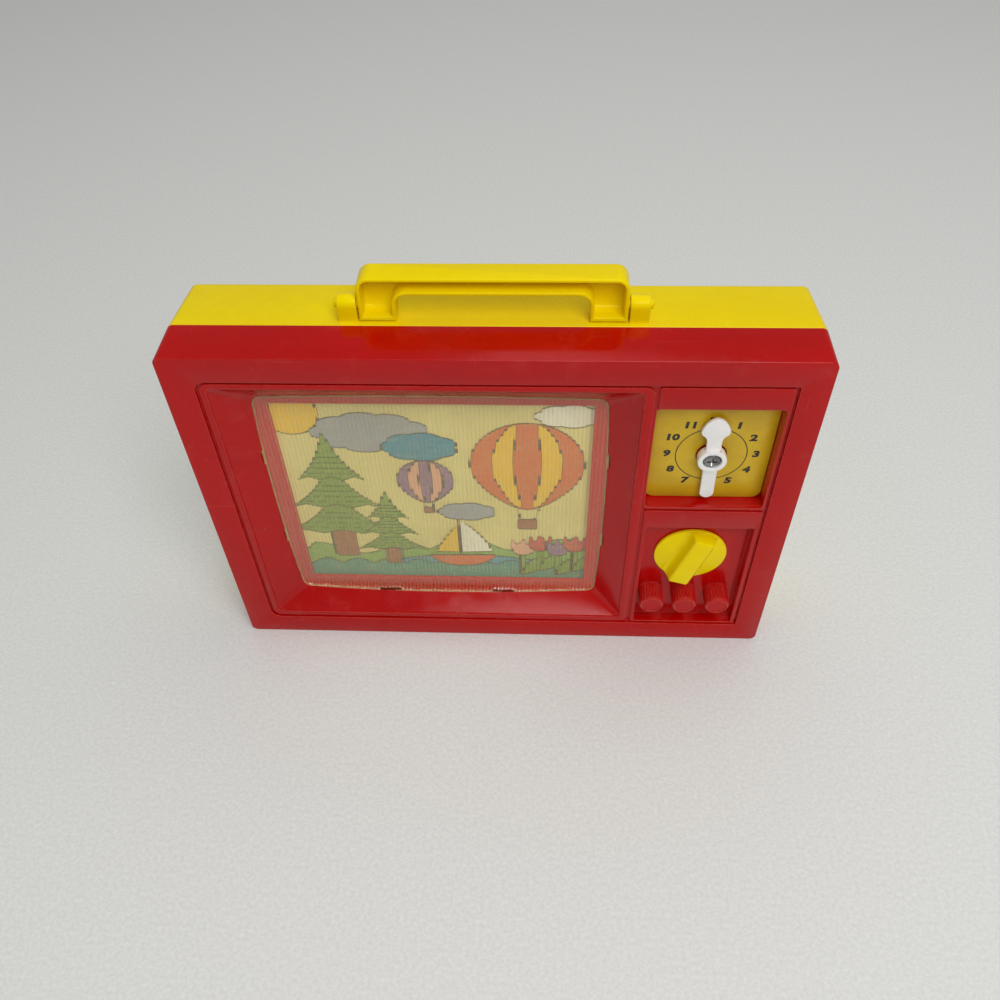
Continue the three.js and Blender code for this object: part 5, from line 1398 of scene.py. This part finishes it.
def lobed(centre: Point, wide: float, high: float, lobes: int, depth: float = 0.12) -> Loop:
    """A puffy round outline, such as a cloud or a bush.

    Args:
        centre: Its middle.
        wide: Half of its width.
        high: Half of its height.
        lobes: How many puffs it has.
        depth: How deep the dents between them are, as a share.

    Returns:
        The outline.
    """
    steps = lobes * 8
    points: Loop = []
    for angle in (2 * math.pi * step / steps for step in range(steps)):
        puff = 1 - depth + depth * abs(math.sin(angle * lobes / 2)) ** 0.6
        points.append((centre[0] + wide * puff * math.cos(angle), centre[1] + high * puff * math.sin(angle)))
    return points


STRIPE = ((0.2, 0.97), (0.32, 0.9), (0.5, 0.6), (0.62, 0.15), (0.6, -0.3), (0.42, -0.8), (0.3, -0.93),
          (0.16, -0.95), (0.24, -0.4), (0.27, 0.1), (0.22, 0.6))


@dataclass
class PicturePrint:
    """The picture on the band: balloons, pine trees, a sailing boat, clouds and flowers over hills."""

    finishes: Finishes
    case: FrontCase
    layer: float = 0.02
    thin: float = 0.012
    line: float = 0.6

    def __post_init__(self) -> None:
        """Starts with no shapes, in front of the band."""
        self.band_front = extent("screen_lens").back + 2.7
        self.shapes: list[Piece] = []

    def next_depth(self) -> float:
        """The depth of the next layer of ink, in front of all that were printed before."""
        return self.band_front - self.thin - self.layer * (len(self.shapes) + 1) / 4

    def patch(self, loop: Loop, ink: Inks) -> None:
        """Prints one flat shape."""
        depth = self.next_depth()
        self.shapes.append(inked(prism("patch", loop, depth, depth + self.thin), ink))

    def dashes(self, spots: Loop, length: float) -> None:
        """Prints a row of short thin strokes as one layer."""
        depth = self.next_depth()
        rows = [about(spot, length / 2, self.line * 0.4) for spot in spots]
        strokes = [block("dash", row, depth, depth + self.thin) for row in rows]
        self.shapes.append(inked(merged(strokes), Inks.LINE))

    def outlined(self, loop: Loop, ink: Inks) -> None:
        """Prints a shape over its dark outline."""
        self.patch(widened(loop, self.line), Inks.LINE)
        self.patch(loop, ink)

    def ground(self) -> None:
        """The cream sheet, the far hills, the pond and the near bank."""
        sheet = self.case.aperture.grown(2)
        self.patch(rounded(sheet, 0.5), Inks.CREAM)
        left, right, floor = sheet.left, sheet.right, sheet.bottom
        far: Loop = [(left, floor), (right, floor), (right, 52)]
        far += [(right - 8 * step, 54 + 5 * math.sin(step * 1.1)) for step in range(1, 9)]
        far += [(left + 60 - 6 * step, 50 + 4 * math.sin(step * 0.9)) for step in range(10)]
        self.outlined(far + [(left, 46)], Inks.GRASS)
        self.outlined(lobed((-14, 38), 40, 8, 7, 0.08), Inks.SEA)
        bank: Loop = [(left, floor - 1), (right, floor - 1), (right, 37)]
        for start in (right - 14.6 * lobe for lobe in range(9)):
            bank += [(start - 14.6 * t, 37 + 5.5 * math.sin(math.pi * t) ** 0.7) for t in (0.1, 0.25, 0.5, 0.75, 0.9)]
        self.outlined(bank + [(left, 37)], Inks.TEAL)

    def pine(self, x: float, foot: float, size: float) -> None:
        """A pine tree of three tiers on a short trunk."""
        trunk = Span(x - size * 0.07, x + size * 0.07, foot, foot + size * 0.3)
        self.outlined(rounded(trunk, size * 0.02), Inks.BROWN)
        for tier in range(3):
            base, half = foot + size * (0.22 + 0.24 * tier), size * (0.36 - 0.08 * tier)
            tip, waist = (x, base + size * 0.38), base + size * 0.12
            teeth = [(x - half + 2 * half * step / 6, base + (size * 0.03 if step % 2 else 0)) for step in range(7)]
            right = bend((x + half, base), (x + half * 0.3, waist), tip)
            left = bend(tip, (x - half * 0.3, waist), (x - half, base))[:-1]
            self.outlined([*teeth, *right, *left], Inks.LEAF)
            self.dashes([(x + half * (across + 0.08 * (row % 2)) * (0.62 - 0.14 * row),
                          base + size * (0.05 + 0.045 * row))
                         for row in range(4) for across in (-0.9, -0.45, 0.0, 0.45, 0.9)], size * 0.045)

    def balloon(self, x: float, z: float, size: float, first: Inks, second: Inks) -> None:
        """A hot-air balloon with upright stripes and a basket."""
        def on_bag(wide: float, high: float) -> Point:
            """A point of the bag, pinched and drawn out below its middle."""
            pinch = 1 - 0.35 * max(-high, 0) ** 2
            return x + size * wide * pinch, z + size * high * (1.15 if high < 0 else 1)

        self.outlined([on_bag(*point) for point in circle((0, 0), 1, 36)], first)
        self.outlined([on_bag(-wide, high) for wide, high in reversed(STRIPE)], second)
        self.outlined([on_bag(*point) for point in STRIPE], second)
        foot = z - size * 1.15
        for side in (-1, 1):
            top, low = x + side * size * 0.2, x + side * size * 0.13
            self.patch([(top, foot), (top + self.line, foot), (low + self.line, foot - size * 0.32),
                        (low, foot - size * 0.32)], Inks.LINE)
        basket = Span(x - size * 0.17, x + size * 0.17, foot - size * 0.55, foot - size * 0.3)
        self.outlined(rounded(basket, size * 0.05), Inks.BROWN)

    def boat(self, x: float, z: float, size: float) -> None:
        """A small boat with two sails."""
        self.patch(rounded(Span(x - 0.35, x + 0.35, z, z + size * 1.75), 0.2), Inks.LINE)
        sail = [(x + 0.8, z + size * 0.2), (x + size * 0.95, z + size * 0.25)]
        sail += bend(sail[1], (x + size * 0.75, z + size), (x + 0.8, z + size * 1.65))
        jib = [(x - 0.9, z + size * 0.2), (x - 0.9, z + size * 1.45)]
        jib += bend(jib[1], (x - size * 0.45, z + size * 0.9), (x - size * 0.75, z + size * 0.22))
        keel = (x, z - size * 0.45)
        hull = [(x - size, z), *bend((x - size, z), (x - size * 0.6, z - size * 0.5), keel),
                *bend(keel, (x + size * 0.7, z - size * 0.5), (x + size * 1.1, z + size * 0.05))]
        for loop, ink in ((sail, Inks.WHITE), (jib, Inks.YELLOW), (hull, Inks.ORANGE)):
            self.outlined(loop, ink)

    def tulip(self, x: float, foot: float, size: float, ink: Inks) -> None:
        """A tulip on a stem with one leaf."""
        stem = Span(x - size * 0.04, x + size * 0.04, foot, foot + size * 0.62)
        self.outlined(rounded(stem, size * 0.02), Inks.LEAF)
        tip = (x + size * 0.3, foot + size * 0.5)
        leaf = [(x, foot), *bend((x, foot), (x + size * 0.45, foot + size * 0.1), tip),
                *bend(tip, (x + size * 0.02, foot + size * 0.35), (x, foot + 0.2))[:-1]]
        self.outlined(leaf, Inks.LEAF)
        base = foot + size * 0.58
        cup = [(x + size * across, base + size * up)
               for across, up in ((-0.2, 0.42), (-0.1, 0.26), (0, 0.44), (0.1, 0.26), (0.2, 0.42))]
        cup += bend(cup[-1], (x + size * 0.26, base), (x, base))
        cup += bend((x, base), (x - size * 0.26, base), cup[0])[:-1]
        self.outlined(cup[::-1], ink)

    def build(self) -> None:
        """Prints the whole picture as one thin piece."""
        self.ground()
        self.outlined(circle((-84, 136), 12, 24), Inks.YELLOW)
        clouds = (((-52, 125), 25, 11, 9, Inks.GREY), ((-32, 117), 16, 8, 7, Inks.BLUE),
                  ((30, 135), 14, 6, 7, Inks.WHITE), ((-14, 77), 13, 5.5, 7, Inks.GREY))
        for *measures, ink in clouds:
            self.outlined(lobed(*measures), ink)
        self.pine(-72, 45, 74)
        self.pine(-50, 40, 46)
        self.balloon(13, 107, 24, Inks.ORANGE, Inks.YELLOW)
        self.balloon(-31, 97, 12, Inks.PURPLE, Inks.PINK)
        self.boat(-18, 46, 15)
        for index, ink in enumerate((Inks.PINK, Inks.RED, Inks.PURPLE, Inks.RED)):
            self.tulip(11 + 8.0 * index, 33 + 3 * (index % 2), 25, ink)
        print_sheet = merged(self.shapes)
        print_sheet.name = print_sheet.data.name = "picture_print"
        settle(dress(print_sheet, self.finishes.film), "case", Slot.FILM)


# Clock

@dataclass
class ClockDial:
    """The dial card with its round hole, a thin ring and the hours in bold leaning numbers."""

    finishes: Finishes
    opening: Span
    margin: float = 0.2
    corner: float = 4.0
    hole: float = 6.2
    ring: float = 14.24
    ring_line: float = 0.42
    hours_radius: float = 17.9
    hours_shift: Point = (-0.1, 0.3)
    pair_shift: float = -1.1
    hours_height: float = 4.6
    hours_weight: float = 0.055
    hours_lean: float = 0.08
    hours_stretch: float = 1.25
    ink_height: float = 0.03

    def numeral(self, hour: int, centre: Point, depth: float) -> Piece:
        """One of the hours.

        Args:
            hour: The number.
            centre: The dial's centre.
            depth: The depth of the card's face.

        Returns:
            A thin printed shape.
        """
        angle = math.radians(30 * hour)
        aside = self.hours_shift[0] + (self.pair_shift if hour > 9 else 0)
        spot = (centre[0] + aside + self.hours_radius * math.sin(angle),
                centre[1] + self.hours_shift[1] + self.hours_radius * math.cos(angle))
        deselect()
        bpy.ops.object.text_add(rotation=(math.radians(90), 0, 0), location=Axis.Y.spot(depth, spot))
        text = bpy.context.object
        text.data.body = str(hour)
        text.data.align_x = text.data.align_y = "CENTER"
        text.data.size = self.hours_height * MM
        text.data.shear = self.hours_lean
        text.data.resolution_u = 2
        text.data.offset = self.hours_weight * self.hours_height * MM
        text.data.extrude = self.ink_height * MM
        text.scale = (self.hours_stretch, 1, 1)
        bpy.ops.object.convert(target="MESH")
        bpy.ops.object.transform_apply(location=True, rotation=True, scale=True)
        return inked(bpy.context.object, Inks.BLACK)

    def build(self) -> None:
        """Models the dial and dresses it."""
        space, centre = extent("clock_dial"), extent("clock_hand_screw").middle
        front, back, half, ink = space.front, space.back, self.ring_line / 2, self.ink_height
        card = block("clock_dial", self.opening.grown(-self.margin), front, back, self.corner)
        combine(card, Join.CUT, rod("hole", centre, self.hole, front - OVERRUN, back + OVERRUN))
        dress(soften(card, 0.15, 2, SHARP), self.finishes.card)
        ring = rod("ring", centre, self.ring + half, front - ink, front + ink, DISC_STEPS)
        inside = rod("inside", centre, self.ring - half, front - OVERRUN, front + OVERRUN, DISC_STEPS)
        prints = [inked(combine(ring, Join.CUT, inside), Inks.BLACK)]
        prints += [self.numeral(hour, centre, front) for hour in range(1, 13)]
        for piece in prints:
            dress(piece, self.finishes.dial_ink)
        settle(merged([card, *prints]), "case", Slot.CARD, "clock_dial")


@dataclass
class ClockHand:
    """The white hand: a spade head and a round tail on a deep hub with a cup for the screw."""

    finishes: Finishes
    blade_depth: float = 3.9
    blade_thickness: float = 1.5
    hub_depth: float = 2.4
    hub_radius: float = 5.8
    cup_radius: float = 3.8
    cup_depth: float = 2.0
    head_width: float = 12.2
    neck_width: float = 6.0
    neck_length: float = 12.0
    head_length: float = 22.0
    tail_length: float = 22.5
    tail_width: float = 5.8
    lean: float = -1.5
    hole: float = 1.7

    def blade(self) -> Loop:
        """The hand's outline about its axis."""
        neck, wide, tail = self.neck_width / 2, self.head_width / 2, self.tail_width / 2
        shoulder = self.neck_length + wide * 0.5
        base = (wide * 0.8, self.neck_length + wide * 0.15)
        start = (neck, self.neck_length - wide * 0.5)
        right = [*arc((0, tail - self.tail_length), tail, -90, 0), start]
        right += bend(start, (neck, self.neck_length), base)
        right += bend(base, (wide, shoulder - wide * 0.1), (wide * 0.9, shoulder + wide * 0.15))
        right += bend(right[-1], (wide * 0.6, self.head_length - wide * 0.1), (0, self.head_length), 8)
        return mirrored(right)

    def build(self) -> None:
        """Models the hand and dresses it."""
        centre, back = extent("clock_hand_screw").middle, extent("clock_hand").back
        front, floor = self.blade_depth, self.hub_depth + self.cup_depth
        hand = prism("clock_hand", turned(self.blade(), self.lean, centre), front, front + self.blade_thickness)
        combine(hand, Join.ADD, rod("hub", centre, self.hub_radius, self.hub_depth, back))
        combine(hand, Join.CUT, rod("cup", centre, self.cup_radius, self.hub_depth - OVERRUN, floor),
                rod("hole", centre, self.hole, 0, back + OVERRUN, POST_STEPS))
        settle(dress(soften(hand, 0.35, 3, SHARP), self.finishes.white), "hand", Slot.WHITE, "clock_hand")


@dataclass
class CrossHeadScrew:
    """A pan-head screw with a cross recess, along the depth."""

    finishes: Finishes
    node: str
    head_radius: float
    head_height: float
    shank_radius: float
    faces_front: bool
    recess_share: float = 0.62
    slot_share: float = 0.22
    rises: tuple[Point, ...] = ((0.0, 0.96), (0.15, 1.0), (0.45, 1.0), (0.7, 0.94), (0.88, 0.8), (0.97, 0.6),
                                (1.0, 0.35))

    def build(self) -> Piece:
        """Models the screw at its node's place.

        Returns:
            The piece, still to be settled.
        """
        box = extent(self.node)
        centre = box.middle
        way = -1 if self.faces_front else 1
        top, tip = (box.front, box.back) if self.faces_front else (box.back, box.front)
        under = top - way * self.head_height
        head = [(under + way * self.head_height * rise, circle(centre, self.head_radius * share))
                for rise, share in self.rises]
        steps = ((under + way * 0.2, self.shank_radius), (tip - way * 1.2, self.shank_radius), (tip, 0.3))
        shank = [(depth, circle(centre, radius, POST_STEPS)) for depth, radius in steps]
        screw = combine(drawn_out(self.node, head), Join.ADD, drawn_out("shank", shank))
        reach, half = self.head_radius * self.recess_share, self.head_radius * self.slot_share / 2
        floor = top - way * self.head_height * 0.7
        for wide, high in ((reach, half), (half, reach)):
            mouth = rounded(about(centre, wide, high), half * 0.4)
            bottom = rounded(about(centre, wide * 0.6, high * 0.6), half * 0.2)
            combine(screw, Join.CUT, drawn_out("recess", [(top + way, mouth), (top, mouth), (floor, bottom)]))
        return dress(shade(screw), self.finishes.screw_steel)


def build_screws(finishes: Finishes) -> None:
    """Models the clock's screw and one case screw, and copies that to its five other places."""
    clock_screw = CrossHeadScrew(finishes, "clock_hand_screw", 3.5, 1.6, 1.4, faces_front=True)
    settle(clock_screw.build(), "case", Slot.STEEL, clock_screw.node)
    name, *others = CASE_SCREWS
    first = CrossHeadScrew(finishes, name, 2.8, 2.0, 1.2, faces_front=False).build()
    for node in others:
        settle(copy_of(first, node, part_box(node)[0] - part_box(name)[0]), "case", Slot.STEEL, node)
    settle(first, "case", Slot.STEEL, name)


# Winding knob

@dataclass
class WindKnob:
    """The yellow winding knob: a thin disc, a tall tapered grip across it and a sleeve behind."""

    finishes: Finishes
    disc_radius: float = 16.1
    disc_front: float = 4.3
    disc_back: float = 5.5
    grip_front: float = -1.5
    grip_width: float = 9.4
    grip_length: float = 29.7
    draft: float = 1.1
    tilt: float = 17.9
    sleeve: float = 4.3
    bore: float = 2.3
    face_round: float = 0.4
    flare: tuple[Point, ...] = ((0.55, 0.45), (0.75, 0.8), (0.88, 1.3), (0.96, 1.9), (1.0, 2.6))

    def grip(self, centre: Point) -> Piece:
        """The bar across the disc, wider at its foot."""
        front, back = self.grip_front, (self.disc_back + self.disc_front) / 2
        steps = [(front, -0.5), (front + self.draft / 2, 0.0)]
        steps += [(front + (self.disc_front - front) * share, by) for share, by in self.flare]
        steps.append((back, self.flare[-1][1]))
        sections = []
        for depth, share in steps:
            by = self.draft * share
            box = about((0, 0), self.grip_width / 2 + by, self.grip_length / 2 + by / 2)
            sections.append((depth, turned(rounded(box, self.draft), self.tilt, centre)))
        return drawn_out("grip", sections)

    def build(self) -> None:
        """Models the knob and dresses it."""
        centre, radius, small = extent("winding_arbor").middle, self.disc_radius, self.face_round
        steps = ((self.disc_back, 0), (self.disc_front + small, 0), (self.disc_front + small * 0.3, small * 0.3),
                 (self.disc_front, small))
        knob = drawn_out("wind_knob", [(depth, circle(centre, radius - by, DISC_STEPS)) for depth, by in steps])
        limit = rod("limit", centre, radius - small, self.grip_front - OVERRUN, self.disc_back, DISC_STEPS)
        grip = combine(self.grip(centre), Join.KEEP, limit)
        soften(grip, 0.7, 3, 30, lambda edge: max(depths(edge)) < self.grip_front + self.draft)
        back = extent("wind_knob").back
        combine(knob, Join.ADD, grip, rod("sleeve", centre, self.sleeve, self.disc_front + 0.5, back))
        combine(knob, Join.CUT, rod("bore", centre, self.bore, 1.4, back + OVERRUN, POST_STEPS))
        settle(dress(shade(knob), self.finishes.yellow), "knob", Slot.YELLOW, "wind_knob")


# What the frame carries over

def dress_workings(finishes: Finishes) -> None:
    """Gives every solid that the frame carries over its finish."""
    groups = {
        finishes.natural: "picture_carrier drive_roller idler_roller drive_roller_gear idler_gear cylinder_gear "
                          "governor_wheel governor_worm",
        finishes.brass: "spring_barrel barrel_cover pinned_cylinder cylinder_pinion governor_bracket",
        finishes.cast: "movement_bed_plate",
        finishes.blue_steel: "mainspring",
        finishes.steel: "winding_arbor cylinder_shaft music_comb governor_screw idler_gear_pin comb_screw_1 "
                        "comb_screw_2 movement_screw_1 movement_screw_2 movement_screw_3 drive_roller_shaft "
                        "idler_roller_shaft carrier_screw_1 carrier_screw_2 carrier_screw_3 carrier_screw_4",
        finishes.film: "picture_band",
    }
    inked(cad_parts["picture_band"], Inks.CREAM)
    for material, nodes in groups.items():
        for node in nodes.split():
            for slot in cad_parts[node].material_slots:
                slot.material = material
            log.info("%s: carried over in %s", node, material.name)


# Studio

@dataclass
class Studio:
    """The floor, the soft lamps, the pale surroundings and the camera."""

    floor_size: float = 6.0
    aim: tuple[float, float, float] = (0, 0, 0.08)
    camera_place: tuple[float, float, float] = (0.01894, -0.28832, 0.38932)
    camera_turn: tuple[float, float, float] = (3.712, -47.649, 1.985)
    lens: float = 33.65
    sensor: float = 36.0
    nearest: float = 0.01

    def floor(self) -> None:
        """A wide pale floor with a faint felt texture."""
        deselect()
        bpy.ops.mesh.primitive_plane_add(size=self.floor_size)
        plane = bpy.context.object
        plane.name = "floor"
        plane.data.materials.append(Felt("Floor").make())

    def lamp(self, name: str, place: tuple[float, float, float], size: float, power: float) -> None:
        """A square soft lamp that points at the toy."""
        data = bpy.data.lights.new(name, "AREA")
        data.size = size
        data.energy = power
        lamp = bpy.data.objects.new(name, data)
        lamp.location = place
        lamp.rotation_euler = (Vector(self.aim) - Vector(place)).to_track_quat("-Z", "Y").to_euler()
        bpy.context.collection.objects.link(lamp)

    def camera(self) -> None:
        """Stands the camera where the photograph was taken from."""
        data = bpy.data.cameras.new("camera")
        data.lens = self.lens
        data.sensor_width = self.sensor
        data.clip_start = self.nearest
        camera = bpy.data.objects.new("camera", data)
        turn = Matrix.Identity(3)
        for angle, axis in zip(self.camera_turn, "ZXY"):
            turn = turn @ Matrix.Rotation(math.radians(angle), 3, axis)
        columns = Matrix((turn.col[0], turn.col[2], -turn.col[1])).transposed()
        camera.matrix_world = Matrix.Translation(self.camera_place) @ columns.to_4x4()
        bpy.context.collection.objects.link(camera)
        bpy.context.scene.camera = camera

    def build(self) -> None:
        """Sets the whole studio up."""
        self.floor()
        self.lamp("front", (0.35, -0.85, 1.3), 0.85, 12.5)
        self.lamp("overhead", (0.2, 0.35, 1.5), 1.2, 4.2)
        world = bpy.data.worlds.new("Studio")
        world.use_nodes = True
        sheet = Sheet(world.node_tree)
        sky = sheet.node("Background", {"Color": srgb(236, 236, 232), "Strength": 0.34})
        sheet.node("OutputWorld", {"Surface": sky.outputs[0]})
        bpy.context.scene.world = world
        self.camera()


def main() -> None:
    """Builds the toy piece by piece, then the studio."""
    logging.basicConfig(level=logging.INFO, format="%(name)s: %(message)s")
    deselect()
    finishes = Finishes()
    front = FrontCase(finishes)
    for piece in (front, RearCase(finishes, front), CarryHandle(finishes), ScreenLens(finishes, front),
                  PicturePrint(finishes, front), ClockDial(finishes, front.dial), ClockHand(finishes)):
        piece.build()
    build_screws(finishes)
    WindKnob(finishes).build()
    dress_workings(finishes)
    Studio().build()
    bpy.context.scene.view_settings.view_transform = "Standard"


if __name__ == "__main__":
    main()
